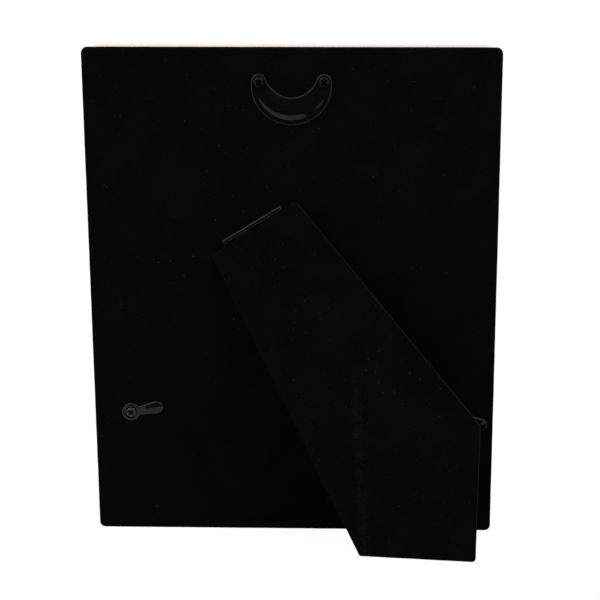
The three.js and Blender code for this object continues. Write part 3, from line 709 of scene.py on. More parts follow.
@made_once
def velvet_finish(name, streak=None):
    """Short black pile: brushed this way and that, rubbed and painted with a sheen along its edges, with dust and
    fibres on it.

    A streak is a band that is brushed pale. There is more dust where there is a streak."""
    tints = finishes()
    material, tree, shader, place = new_finish(name, {
        "Roughness": 1.0, "Specular IOR Level": 0.0, "Sheen Weight": 0.018, "Sheen Roughness": 0.42,
    })
    pile = grain(tree, place, scale=3200, detail=3)
    tufts = grain(tree, place, scale=700, detail=4)
    brushed = grain(tree, place, scale=48, detail=3, distortion=0.6)
    short = between(tree, pile, 0.25, 0.75, to_high=0.35)
    lie = calculate(tree, "ADD", short, between(tree, tufts, *NOISE_SPAN, to_high=0.3))
    lie = calculate(tree, "ADD", lie, between(tree, brushed, 0.35, 0.7, to_high=0.35))
    cloth = blended(tree, lie, tints.velvet_deep, tints.velvet_brushed)
    if streak:
        cloth = blended(tree, streak_share(tree, place, tufts, streak), cloth, tints.velvet_streak)
    # Paler pile along the edges: partly rubbing, partly a painted sheen
    worn_and_lit = calculate(tree, "MULTIPLY", carried(tree, "wear_and_light_share"), between(tree, tufts, 0.3, 0.75))
    cloth = blended(tree, worn_and_lit, cloth, tints.velvet_rubbed_and_sheen)
    litter = specks(tree, place, scale=190, size=0.055)
    for scale, turn in FIBRES:
        fibres = specks(tree, stretched(tree, place, scale, turn), scale=1, size=0.05)
        litter = calculate(tree, "MAXIMUM", litter, fibres)
    if streak:
        litter = calculate(tree, "MAXIMUM", litter, specks(tree, place, scale=420, size=0.075))
    strength = between(tree, grain(tree, place, scale=260, detail=1), 0.35, 0.75, to_low=0.1)
    faint = calculate(tree, "MULTIPLY", litter, strength)
    tree.links.new(blended(tree, faint, cloth, tints.lint), shader.inputs["Base Color"])
    relief = calculate(tree, "ADD", pile, calculate(tree, "MULTIPLY", tufts, 0.8))
    roughen(tree, shader, relief, distance=0.00025, strength=0.7)
    return material


@made_once
def enamel_finish(name, worn_and_highlight_tint, specular, shine):
    """Black enamel on pressed steel, worn thin and painted with a paler highlight along its edges, with a faint
    olive shine.

    The shine is the lowest and the highest roughness."""
    tints = finishes()
    material, tree, shader, place = new_finish(name, {"Specular IOR Level": specular})
    scuffs = grain(tree, place, scale=900, detail=4)
    mottle = grain(tree, place, scale=160, detail=3)
    patchy = between(tree, scuffs, *NOISE_SPAN, to_low=0.75)
    # Paler along the edges: partly wear, partly a painted highlight
    worn_and_lit = calculate(tree, "MULTIPLY", carried(tree, "wear_and_light_share"), patchy)
    tree.links.new(blended(tree, worn_and_lit, tints.enamel, worn_and_highlight_tint), shader.inputs["Base Color"])
    gloss = blended(tree, worn_and_lit, tints.enamel_shine, tints.worn_shine)
    tree.links.new(gloss, shader.inputs["Specular Tint"])
    tree.links.new(between(tree, mottle, *NOISE_SPAN, *shine), shader.inputs["Roughness"])
    orange_peel = grain(tree, place, scale=1500, detail=2)
    roughen(tree, shader, orange_peel, distance=0.00002, strength=0.25)
    return material


def pressed_enamel():
    return enamel_finish("semi_gloss_enamel", finishes().enamel_worn_and_highlight, specular=0.28, shine=(0.17, 0.25))


@made_once
def screw_finish(name, dark, bright, metallic):
    """Black oxide that has rubbed off a screw in patches and bared the metal."""
    material, tree, shader, place = new_finish(name, {"Specular IOR Level": 0.2, "Metallic": metallic})
    scuffs = grain(tree, place, scale=1300, detail=4)
    oxide = blended(tree, between(tree, scuffs, *NOISE_SPAN), dark, bright)
    # Painted shade in the cross recess
    recess_shade = between(tree, carried(tree, "recess_shade_mask"), 0.0, 0.15)
    tree.links.new(blended(tree, recess_shade, oxide, finishes().recess), shader.inputs["Base Color"])
    roughness = between(tree, scuffs, *NOISE_SPAN, to_low=0.3, to_high=0.5)
    tree.links.new(roughness, shader.inputs["Roughness"])
    roughen(tree, shader, grain(tree, place, scale=2600, detail=2), distance=0.00002, strength=0.4)
    return material


def steel_finish():
    """Zinc-plated steel with fine drawn lines and dull patches."""
    tints = finishes()
    material, tree, shader, place = new_finish("plated_steel", {"Metallic": 1.0})
    lines = grain(tree, stretched(tree, place, (900, 5000, 5000)), scale=1, detail=3)
    patches = grain(tree, place, scale=240, detail=3)
    metal = blended(tree, between(tree, patches, *NOISE_SPAN), tints.steel, tints.steel_dull)
    tree.links.new(metal, shader.inputs["Base Color"])
    roughness = between(tree, lines, *NOISE_SPAN, to_low=0.3, to_high=0.5)
    tree.links.new(roughness, shader.inputs["Roughness"])
    roughen(tree, shader, lines, distance=0.00001, strength=0.4)
    return material


def lacquer_finish():
    """Satin cream lacquer that lets a little of the wood's grain through."""
    tints = finishes()
    material, tree, shader, place = new_finish("satin_cream_lacquer", {
        "Specular IOR Level": 0.2, "Coat Weight": 0.04, "Coat Roughness": 0.25,
    })
    clouds = grain(tree, place, scale=26, detail=4)
    pores = grain(tree, stretched(tree, place, (260, 1900, 260)), scale=1, detail=3)
    shade = between(tree, clouds, 0.35, 0.75, to_high=0.45)
    shade = calculate(tree, "ADD", shade, between(tree, pores, 0.55, 0.8, to_high=0.4))
    lacquer = blended(tree, shade, tints.cream, tints.cream_shade)
    # Near-black where the rail lies in the rabbet
    wood = blended(tree, carried(tree, "dark_rabbet"), lacquer, tints.rabbet)
    tree.links.new(wood, shader.inputs["Base Color"])
    roughness = between(tree, clouds, *NOISE_SPAN, to_low=0.36, to_high=0.48)
    tree.links.new(roughness, shader.inputs["Roughness"])
    roughen(tree, shader, pores, distance=0.00003, strength=0.5)
    return material


def glass_finish():
    """Clear float glass with the faintest smears."""
    material, tree, shader, place = new_finish("picture_glass", {
        "Base Color": (*finishes().glass_tint, 1), "Transmission Weight": 1.0, "IOR": 1.5,
    })
    smears = grain(tree, stretched(tree, place, (30, 30, 90)), scale=1, detail=4, distortion=0.8)
    tree.links.new(between(tree, smears, 0.45, 0.8, to_high=0.03), shader.inputs["Roughness"])
    return material


def paper_finish(name, tint, fibre_depth):
    """Paper with its fibres and a slight cloudiness."""
    material, tree, shader, place = new_finish(name, {"Roughness": 0.9, "Specular IOR Level": 0.2})
    clouds = grain(tree, place, scale=120, detail=5)
    fibres = grain(tree, stretched(tree, place, (900, 900, 3800)), scale=1, detail=3)
    sheet = blended(tree, between(tree, clouds, 0.3, 0.75), tint, darkened(tint, 0.88))
    tree.links.new(sheet, shader.inputs["Base Color"])
    roughen(tree, shader, fibres, fibre_depth, strength=0.5)
    return material


def card_finish():
    """Brown corrugated card with its flutes showing through."""
    tint = finishes().card
    material, tree, shader, place = new_finish("corrugated_card", {
        "Roughness": 0.95, "Specular IOR Level": 0.1,
    })
    flutes = add_node(tree, "ShaderNodeTexWave", Vector=place, Scale=45, Distortion=0.4)
    flutes.bands_direction = "X"
    flecks = grain(tree, place, scale=800, detail=4)
    brown = blended(tree, between(tree, flecks, 0.35, 0.7), tint, darkened(tint, 0.7))
    tree.links.new(brown, shader.inputs["Base Color"])
    roughen(tree, shader, flutes.outputs["Fac"], distance=0.0002, strength=0.5)
    return material


def hardboard_finish():
    """Brown hardboard: pressed wood fibres."""
    tint = finishes().hardboard
    material, tree, shader, place = new_finish("pressed_hardboard", {
        "Roughness": 0.85, "Specular IOR Level": 0.2,
    })
    fibres = grain(tree, place, scale=1400, detail=6, distortion=1.2)
    clouds = grain(tree, place, scale=60, detail=3)
    cloudy = between(tree, clouds, *NOISE_SPAN, to_low=0.5)
    mix = calculate(tree, "MULTIPLY", between(tree, fibres, *NOISE_SPAN), cloudy)
    tree.links.new(blended(tree, mix, tint, darkened(tint, 0.45)), shader.inputs["Base Color"])
    roughen(tree, shader, fibres, distance=0.00008, strength=0.6)
    return material


# Pieces


# How finely velvet is cut: across its face and along its edges, in metres
VELVET_CELL = 0.004
VELVET_STEP = 0.003

# How pale velvet is painted along the panel's seam and along the leg's edges, as rubbing and a painted sheen
SEAM_WEAR_AND_SHEEN = 0.45
LEG_WEAR_AND_SHEEN = 0.5

# Swells in the velvet: how many to a metre, of about a centimetre and of a few millimetres, and how strong
SWELLS = ((110, 1.0), (320, 0.6))


def clamped(share):
    return max(0.0, min(1.0, share))


def eased(share):
    """A smooth step from 0 to 1."""
    held = clamped(share)
    return held * held * (3 - 2 * held)


def uneven(bm, depth):
    """Lets a mesh swell and dip gently."""
    bm.normal_update()
    for vert in bm.verts:
        place = vert.co
        swell = sum(share * noise.noise(place * scale) for scale, share in SWELLS)
        vert.co = place + vert.normal * depth * swell


def panel_edges():
    """Lowest and highest corner of the back panel, and of the opening that it lies in."""
    low, high = span("back_panel_velvet")
    pile = Vector((1, 0, 1)) * sizes().seam_pile
    seam = Vector((1, 0, 1)) * (sizes().panel_seam - sizes().seam_pile)
    return low - pile, high + pile, low - seam, high + seam


def side_wrap():
    """How far the frame's velvet goes down the outer sides of the rails."""
    points = points_in("frame_velvet", FACE)
    outermost = points[:, 0] > points[:, 0].max() - sizes().velvet / 2
    return float(np.ptp(points[outermost, 1]))


class PHOTOFRAME_OT_rails(bpy.types.Operator):
    """Mould the four mitred rails"""

    bl_idname = "photo_frame.rails"
    bl_label = "Rails"

    RABBET_POINTS = 3
    NOSE_STEPS = 10

    def section(self, pocket):
        """The rail's section as (inset from the frame's outline, level, corner), for one panel pocket."""
        s = sizes()
        outside = span("frame_velvet")[1].x
        glass_low, glass_high = span("glass_pane")
        front = span("left_rail")[0].y
        back = -s.velvet - s.glue_line
        skin = s.velvet + s.glue_line
        shoulder = -side_wrap() - s.seat
        glass = outside - glass_high.x
        sight = glass + s.sight_overlap
        lip = glass_low.y - s.seat
        ledge = span("filler_pad")[1].y
        centre = (s.rail_round, front + s.rail_round)
        turns = np.linspace(math.pi, 1.5 * math.pi, self.NOSE_STEPS + 1)
        nose = [
            (centre[0] + s.rail_round * math.cos(turn), centre[1] + s.rail_round * math.sin(turn))
            for turn in turns
        ]
        inner = [
            (sight - s.sight_chamfer, front),
            (sight, front + s.sight_chamfer),
            (sight, lip),
            (glass - s.glass_play, lip),
            (glass - s.glass_play, ledge),
            (pocket, ledge),
            (pocket, back),
        ]
        return [
            (skin, back, s.frame_corner),
            (skin, shoulder, s.frame_corner),
            *[(inset, level, s.front_corner) for inset, level in ((0.0, shoulder), *nose)],
            *[(inset, level, 0.0) for inset, level in inner],
        ]

    def path(self, half, height, inset, corner, side):
        """Points along one rail at an inset, from mitre to mitre. Side 0 is the top, and they run round."""
        s = sizes()
        reach = max(inset, corner)
        radius = max(corner - inset, 0)
        corner_x, low_z, high_z = half - reach, reach, height - reach
        corners = [(corner_x, high_z), (-corner_x, high_z), (-corner_x, low_z), (corner_x, low_z)]
        first, second = corners[side], corners[(side + 1) % 4]
        facing = QUARTER_TURN * (side + 1)
        mitre = QUARTER_TURN / 2
        turns = [facing - mitre + mitre * k / EDGE_STEPS for k in range(EDGE_STEPS + 1)]
        points = [(first, turn) for turn in turns] + [(second, turn + mitre) for turn in turns]
        # Each rail is cut back along itself, so that it leaves half of the gap in a mitre
        along = Vector(second) - Vector(first)
        gap = along.normalized() * s.mitre_gap * math.sqrt(0.5)
        placed = []
        for i, ((x, z), turn) in enumerate(points):
            place = Vector((x + radius * math.cos(turn), z + radius * math.sin(turn)))
            placed.append(place + gap if i < len(turns) else place - gap)
        return placed

    def execute(self, context):
        half = span("frame_velvet")[1].x
        height = span("frame_velvet")[1].z
        skin = sizes().velvet + sizes().glue_line
        _, _, low, high = panel_edges()
        pockets = [height - high.z, half + low.x, low.z, half - high.x]
        material = lacquer_finish()
        for side, node in enumerate(("top_rail", "right_rail", "bottom_rail", "left_rail")):
            bm = bmesh.new()
            dark_rabbet = bm.verts.layers.float.new("dark_rabbet")
            rows = [
                [bm.verts.new((p.x, level, p.y)) for p in self.path(half, height, inset, corner, side)]
                for inset, level, corner in self.section(pockets[side] - skin)
            ]
            # The rabbet's last rows take the near-black colour
            for row in rows[-self.RABBET_POINTS:]:
                for vert in row:
                    vert[dark_rabbet] = 1.0
            for row, next_row in zip(rows, rows[1:] + rows[:1]):
                for k in range(len(row) - 1):
                    bm.faces.new((row[k], row[k + 1], next_row[k + 1], next_row[k]))
            bm.faces.new([row[0] for row in rows])
            bm.faces.new([row[-1] for row in reversed(rows)])
            bmesh.ops.remove_doubles(bm, verts=bm.verts, dist=NO_LENGTH)
            bmesh.ops.recalc_face_normals(bm, faces=bm.faces)
            piece = add_object(f"moulded_{node}", bm, FACE)
            set_piece(piece, material, "cream_lacquer", "frame", node)
        return {"FINISHED"}


class PHOTOFRAME_OT_picture_pack(bpy.types.Operator):
    """Finish the glass, the insert sheet and the pad behind it"""

    bl_idname = "photo_frame.picture_pack"
    bl_label = "Glass and insert"

    def execute(self, context):
        set_finish(glass_finish(), "glass_pane")
        set_finish(paper_finish("insert_paper", tuple(finishes().paper), 0.00002), "paper_insert")
        set_finish(card_finish(), "filler_pad")
        return {"FINISHED"}


class PHOTOFRAME_OT_frame_velvet(bpy.types.Operator):
    """Lay the velvet over the back and the edges of the rails"""

    bl_idname = "photo_frame.frame_velvet"
    bl_label = "Frame velvet"

    def execute(self, context):
        s = sizes()
        low, high = span("frame_velvet")
        wrap = side_wrap()
        _, _, open_low, open_high = panel_edges()
        turn_in = high.y - span("filler_pad")[1].y - s.seat
        outer = belt(rounded_rectangle(low.x, low.z, high.x, high.z, s.frame_corner), VELVET_STEP)
        opening = rounded_rectangle(open_low.x, open_low.z, open_high.x, open_high.z, s.panel_corner)
        rim, outward = belt(opening, VELVET_STEP)
        loops = [
            Loop(*outer, wrapped_edge(high.y, wrap, s.velvet_round, s.velvet, VELVET_STEP)),
            Loop(rim, -outward, wrapped_edge(high.y, turn_in, s.seam_round, s.velvet, VELVET_STEP, SEAM_WEAR_AND_SHEEN)),
        ]
        hole_edge = rounded_edge(high.y - s.velvet, high.y, s.velvet / 4)
        for side in SIDES:
            for screw in (f"hanger_screw_{side}", f"turn_button_screw_{side}"):
                loops.append(Loop(*ring(*screw_place(screw), s.screw_hole), hole_edge))
        bm = sheet_mesh(loops, VELVET_CELL)
        uneven(bm, s.velvet_uneven)
        piece = add_object("frame_velvet_cover", bm, FACE)
        set_piece(piece, velvet_finish("black_velvet"), "velvet", "frame", "frame_velvet")
        return {"FINISHED"}


class PHOTOFRAME_OT_back_panel(bpy.types.Operator):
    """Lay the velvet over the loose back panel and finish its board and lining"""

    bl_idname = "photo_frame.back_panel"
    bl_label = "Back panel"

    def execute(self, context):
        s = sizes()
        low, high, _, _ = panel_edges()
        outer = belt(rounded_rectangle(low.x, low.z, high.x, high.z, s.panel_corner), VELVET_STEP)
        edge = wrapped_edge(high.y, high.y - low.y, s.seam_round, s.velvet, VELVET_STEP, SEAM_WEAR_AND_SHEEN)
        loops = [Loop(*outer, edge)]
        leaf_low, leaf_high = span("hinge_panel_leaf", HINGE)
        slit_half = s.hinge_leaf / 2 + s.seat
        slit = rounded_rectangle(
            leaf_low.x - s.seat, -slit_half, leaf_high.x + s.seat, slit_half, slit_half / 2
        )
        points, outward = belt(slit, VELVET_STEP)
        to_face = FACE.inverted() @ HINGE
        turn = np.array(to_face.to_3x3())[np.ix_((0, 2), (0, 2))]
        shift = np.array(to_face.translation)[[0, 2]]
        hole_edge = rounded_edge(high.y - s.velvet, high.y, s.velvet / 4)
        loops.append(Loop(points @ turn.T + shift, -outward @ turn.T, hole_edge))
        bm = sheet_mesh(loops, VELVET_CELL)
        uneven(bm, s.velvet_uneven)
        piece = add_object("panel_velvet_cover", bm, FACE)
        set_piece(piece, velvet_finish("black_velvet"), "velvet", "frame", "back_panel_velvet")
        set_finish(hardboard_finish(), "back_panel_board", "leg_board")
        lining = paper_finish("lining_paper", tuple(finishes().black_paper), 0.00003)
        set_finish(lining, "back_panel_lining", "leg_lining")
        return {"FINISHED"}


class PHOTOFRAME_OT_easel_leg(bpy.types.Operator):
    """Lay the velvet over the easel leg"""

    bl_idname = "photo_frame.easel_leg"
    bl_label = "Easel leg"

    # Where the leg's pile is brushed pale
    STREAK = Streak(across=-0.0366, lean=0.061, half_width=0.0032, fades_from=0.070, fades_to=0.095)
    # Points of the lining that are no further apart are one corner, in metres
    SAME_CORNER = 1e-5

    def corners(self):
        """The corners of the leg's lining in (x, z), counter-clockwise, and how far in they lie."""
        points = points_in("leg_lining", LEG)[:, (0, 2)]
        middle = points.mean(0)
        bearing = np.arctan2(*(points - middle).T[::-1])
        corners = []
        for point in points[np.argsort(bearing)]:
            if not corners or np.hypot(*(point - corners[-1])) > self.SAME_CORNER:
                corners.append(point)
        return np.array(corners), sizes().velvet + sizes().glue_line

    def execute(self, context):
        s = sizes()
        low, high = span("leg_velvet", LEG)
        corners, inset = self.corners()
        circles = []
        for i, corner in enumerate(corners):
            back = corners[i - 1] - corner
            ahead = corners[(i + 1) % len(corners)] - corner
            back, ahead = back / np.hypot(*back), ahead / np.hypot(*ahead)
            inward = (back + ahead) / np.hypot(*(back + ahead))
            sine = abs(back[0] * inward[1] - back[1] * inward[0])
            circles.append((*(corner + inward * (s.leg_corner - inset) / sine), s.leg_corner))
        turn_in = high.y - low.y
        edge = wrapped_edge(high.y, turn_in, s.leg_round, s.velvet, VELVET_STEP, LEG_WEAR_AND_SHEEN)
        outline, outward = belt(circles, VELVET_STEP)
        bm = sheet_mesh([Loop(outline, outward, edge)], VELVET_CELL)
        uneven(bm, s.velvet_uneven)
        piece = add_object("leg_velvet_cover", bm, LEG)
        finish = velvet_finish("leg_velvet_pile", self.STREAK)
        set_piece(piece, finish, "velvet", "leg", "leg_velvet")
        ahead = np.roll(outline, -1, axis=0)
        return {"FINISHED"}


class PHOTOFRAME_OT_hinge(bpy.types.Operator):
    """Form the two hinge leaves with their knuckles, and finish the pin and the fasteners"""

    bl_idname = "photo_frame.hinge"
    bl_label = "Hinge"

    # In radii of the barrel's edges: the round of its ends, and how far its edges and ends are painted pale, as
    # bared steel and painted highlight lines
    END_ROUND = 0.6
    EDGE_WEAR_AND_HIGHLIGHT = 0.85
    END_WEAR_AND_HIGHLIGHT = 0.5
    # Lays a bar that was drawn along y along the hinge's x
    SIDEWAYS = Matrix(((0, 1, 0, 0), (0, 0, 1, 0), (1, 0, 0, 0), (0, 0, 0, 1)))

    def knuckle(self, index, first, pitch):
        """One knuckle of the flattened barrel, rounded along it and where the barrel ends."""
        s = sizes()
        half_width, half_height = s.hinge_bar_width / 2, s.hinge_bar_height / 2
        section = rounded_rectangle(-half_width, -half_height, half_width, half_height, s.hinge_bar_round)
        start = first + index * pitch
        end = start + pitch - s.knuckle_gap
        crisp = s.knuckle_gap / 2
        start_round = s.hinge_bar_round * self.END_ROUND if index == 0 else crisp
        end_round = s.hinge_bar_round * self.END_ROUND if index == s.knuckles - 1 else crisp
        profile = [
            *arc_profile((-end_round, end - end_round), end_round, QUARTER_TURN, 0),
            *arc_profile((-start_round, start + start_round), start_round, 0, -QUARTER_TURN),
        ]
        return self.bar(*belt(section, s.hinge_bar_round), profile)

    def bar(self, points, normals, profile):
        """A bar with flat ends, in (x, level, z)."""
        bm = bmesh.new()
        rows = []
        for offset, level, _ in profile:
            rows.append([bm.verts.new((x, level, z)) for x, z in points + normals * offset])
        bridge(bm, rows)
        bm.faces.new(rows[0])
        bm.faces.new(reversed(rows[-1]))
        bmesh.ops.recalc_face_normals(bm, faces=bm.faces)
        return bm

    def mark_wear_and_highlight(self, mesh, start, end):
        """Marks the barrel's long edges and its two ends, which are painted pale: partly worn-off finish, partly
        painted highlight lines.
        """
        s = sizes()

        def wear_and_light_share(x, y, z):
            out = abs(y) - s.hinge_bar_height / 2
            aside = abs(z) - s.hinge_bar_width / 2
            to_end = min(x - start, end - x)
            on_barrel = max(out, aside) < s.knuckle_gap and to_end > -s.knuckle_gap
            along = min(out, aside) > -s.hinge_bar_round * self.EDGE_WEAR_AND_HIGHLIGHT
            return on_barrel and (along or to_end < s.hinge_bar_round * self.END_WEAR_AND_HIGHLIGHT)

        mark(mesh, "wear_and_light_share", HINGE, wear_and_light_share)

    def leaf(self, name, into, first, plate_low, plate_high, tongue):
        """A leaf: its plate, the tongues that join it to its knuckles, and every other knuckle.

        The tongue is the lowest and the highest corner of its section in (y, z)."""
        s = sizes()
        piece = add_object(name, box_mesh(plate_low, plate_high, s.hinge_leaf / 6), into)
        start, end = plate_low[0], plate_high[0]
        pitch = (end - start + s.knuckle_gap) / s.knuckles
        for index in range(first, s.knuckles, 2):
            left = start + index * pitch
            right = left + pitch - s.knuckle_gap
            low, high = tongue
            strip = add_object("tongue", box_mesh((left, *low), (right, *high)), into)
            combine(piece, strip, "UNION")
            knuckle = self.knuckle(index, start, pitch)
            combine(piece, add_object("knuckle", knuckle, HINGE @ self.SIDEWAYS), "UNION")
        self.mark_wear_and_highlight(piece.data, start, end)
        return piece

    def execute(self, context):
        s = sizes()
        finish = enamel_finish("hinge_enamel", finishes().hinge_worn_and_highlight, specular=0.05, shine=(0.42, 0.52))
        half = s.hinge_leaf / 2
        panel_low, panel_high = span("hinge_panel_leaf", HINGE)
        panel_leaf = self.leaf(
            "hinge_leaf_on_panel", HINGE, first=0,
            plate_low=(panel_low.x, panel_low.y, -half),
            plate_high=(panel_high.x, panel_low.y + s.hinge_leaf, panel_high.z),
            tongue=((panel_low.y + half / 2, -half), (0.0, half)),
        )
        set_piece(panel_leaf, finish, "hinge_steel", "frame", "hinge_panel_leaf")
        leg_low, _ = span("hinge_leg_leaf", LEG)
        board_low, _ = span("leg_board", LEG)
        level = board_low.y
        # The plate ends just below the top of the leg's velvet, which is measured beside the hinge
        top = points_in("leg_velvet", LEG)
        root = top[top[:, 0] > panel_high.x, 2].max() - s.seat
        leg_leaf = self.leaf(
            "hinge_leaf_on_leg", LEG, first=1,
            plate_low=(panel_low.x, level, leg_low.z),
            plate_high=(panel_high.x, level + s.hinge_leaf, root),
            tongue=((level + half / 4, root - s.hinge_leaf), (level + s.hinge_leaf - half / 4, 0.0)),
        )
        set_piece(leg_leaf, finish, "hinge_steel", "leg", "hinge_leg_leaf")
        set_finish(finish, "hinge_pin")
        plated = steel_finish()
        set_finish(plated, *[f"{place}_rivet_{side}" for place in ("panel", "leg") for side in SIDES])
        corners = [f"{row}_{side}" for row in ("top", "bottom") for side in SIDES]
        set_finish(plated, *[f"corner_nail_{corner}" for corner in corners])
        return {"FINISHED"}


class PHOTOFRAME_OT_hanger(bpy.types.Operator):
    """Press the crescent hanger"""

    bl_idname = "photo_frame.hanger"
    bl_label = "Crescent hanger"

    # How finely the sheet is cut: across its face and along its edge, in metres
    CELL = 0.0006
    STEP = 0.0008
    # Shares of the pocket's height: at the top's outer side, how far the top then rises, and in the bend
    TOP_START = 0.94
    TOP_RISE = 0.06
    BEND = 0.45

    def execute(self, context):
        s = sizes()
        low, high = span("crescent_hanger")
        half, level = screw_place("hanger_screw_left")
        horn = high.x - half
        drop = level - low.z
        bulge = high.y - low.y - s.hanger_sheet
        # Radii of the lower and the upper arc, which both run smoothly into the round horns
        outer = (half ** 2 + drop ** 2 - horn ** 2) / (2 * (drop - horn))
        inner = (half ** 2 + s.hanger_dip ** 2 - horn ** 2) / (2 * (s.hanger_dip + horn))
        outer_z = level + outer - drop
        inner_z = level + inner - s.hanger_dip
        circles = [(0.0, outer_z, outer), (half, level, horn), (0.0, inner_z, -inner), (-half, level, horn)]
        broad = drop - s.hanger_dip - s.hanger_rim

        def pocket(x, z):
            """Height of the pressed pocket: a wall of one slope that bends into a gently rising top."""
            across = outer - math.hypot(x, z - outer_z) - s.hanger_rim
            from_horn = math.hypot(abs(x) - half, z - level) - horn
            full = bulge * eased(from_horn / s.hanger_fade)
            if across <= 0 or full <= 0:
                return 0
            wall = across * math.tan(s.hanger_slope)
            top = full * (self.TOP_START + self.TOP_RISE * min(1, across / broad))
            soft = full * self.BEND
            bend = max(0, 1 - abs(wall - top) / soft)
            return min(wall, top) - bend * bend * soft / 4

        edge = rounded_edge(low.y, low.y + s.hanger_sheet, s.hanger_edge)
        loops = [Loop(*belt(circles, self.STEP), edge)]
        for side in SIDES:
            loops.append(Loop(*ring(*screw_place(f"hanger_screw_{side}"), s.screw_hole), edge))
        piece = add_object("pressed_hanger", sheet_mesh(loops, self.CELL, pocket), FACE)
        set_piece(piece, pressed_enamel(), "black_enamel", "frame", "crescent_hanger")
        return {"FINISHED"}


class PHOTOFRAME_OT_turn_buttons(bpy.types.Operator):
    """Press the two turn buttons"""

    bl_idname = "photo_frame.turn_buttons"
    bl_label = "Turn buttons"

    # How finely the sheet is cut: across its face and along its edge, in metres
    CELL = 0.00045
    STEP = 0.0005
    # In disc radii from the pivot: where the ridge starts and where the droop begins to fade out
    RIDGE_START = 0.8
    DROOP_FADE = 0.5
    # Length of the ridge's fall at the tip, in tip radii
    RIDGE_FALL = 1.1
    # Points that far out, as a share of the longest reach, tell where the arm points
    TIP_REACH = 0.9

    def relief(self, x, z):
        """Height over the flat sheet: a dish round the screw, a droop round the disc, a ridge on the arm."""
        s = sizes()
        tip = s.button_arm - s.button_tip
        apart = math.hypot(x, z)
        dish = -s.button_dish_depth * (1 - eased((apart - s.screw_head) / (s.button_dish - s.screw_head)))
        fall = clamped((apart - s.button_dish) / (s.button_disc - s.button_dish))
        fade = eased((x / s.button_disc - self.DROOP_FADE) / (1 - self.DROOP_FADE))
        droop = -s.button_droop * fall * fall * (1 - fade)
        neck = s.button_disc * self.RIDGE_START
        along = clamped((x - neck) / (tip - neck))
        half = s.button_neck / 2 + along * (s.button_tip - s.button_neck / 2)
        off = z + s.button_crease
        width = half + s.button_crease if off > 0 else half - s.button_crease
        ridge = max(0.0, 1 - abs(off) / width)
        ending = eased((x - tip) / (s.button_tip * self.RIDGE_FALL))
        rise = eased((x - neck) / s.button_disc) * (1 - ending)
        return dish + droop + s.button_ridge * ridge * rise

    def execute(self, context):
        s = sizes()
        spread = s.button_disc + s.button_fillet
        lift = math.asin((s.button_neck / 2 + s.button_fillet) / spread)
        fillet_x, fillet_z = spread * math.cos(lift), spread * math.sin(lift)
        circles = [
            (0.0, 0.0, s.button_disc),
            (fillet_x, -fillet_z, -s.button_fillet),
            (s.button_arm - s.button_tip, 0.0, s.button_tip),
            (fillet_x, fillet_z, -s.button_fillet),
        ]
        for side in SIDES:
            node = f"turn_button_{side}"
            body = f"button_{side}"
            pivot = Vector(joint(f"{body}_turn")["pos_m"])
            face = FACE.copy()
            face.translation = pivot
            points = points_in(node, face)
            reach = np.hypot(points[:, 0], points[:, 2])
            towards = points[reach > reach.max() * self.TIP_REACH].mean(0)
            arm = FACE.to_3x3() @ Vector((towards[0], 0, towards[2])).normalized()
            base = points[:, 1].min()
            edge = rounded_edge(base, base + s.button_sheet, s.button_edge)
            loops = [Loop(*belt(circles, self.STEP), edge), Loop(*ring(0, 0, s.screw_hole), edge)]
            bm = sheet_mesh(loops, self.CELL, self.relief)
            piece = add_object(f"pressed_{node}", bm, axes_matrix(arm, FACE_OUT, pivot))
            set_piece(piece, pressed_enamel(), "black_enamel", body, node)
        return {"FINISHED"}


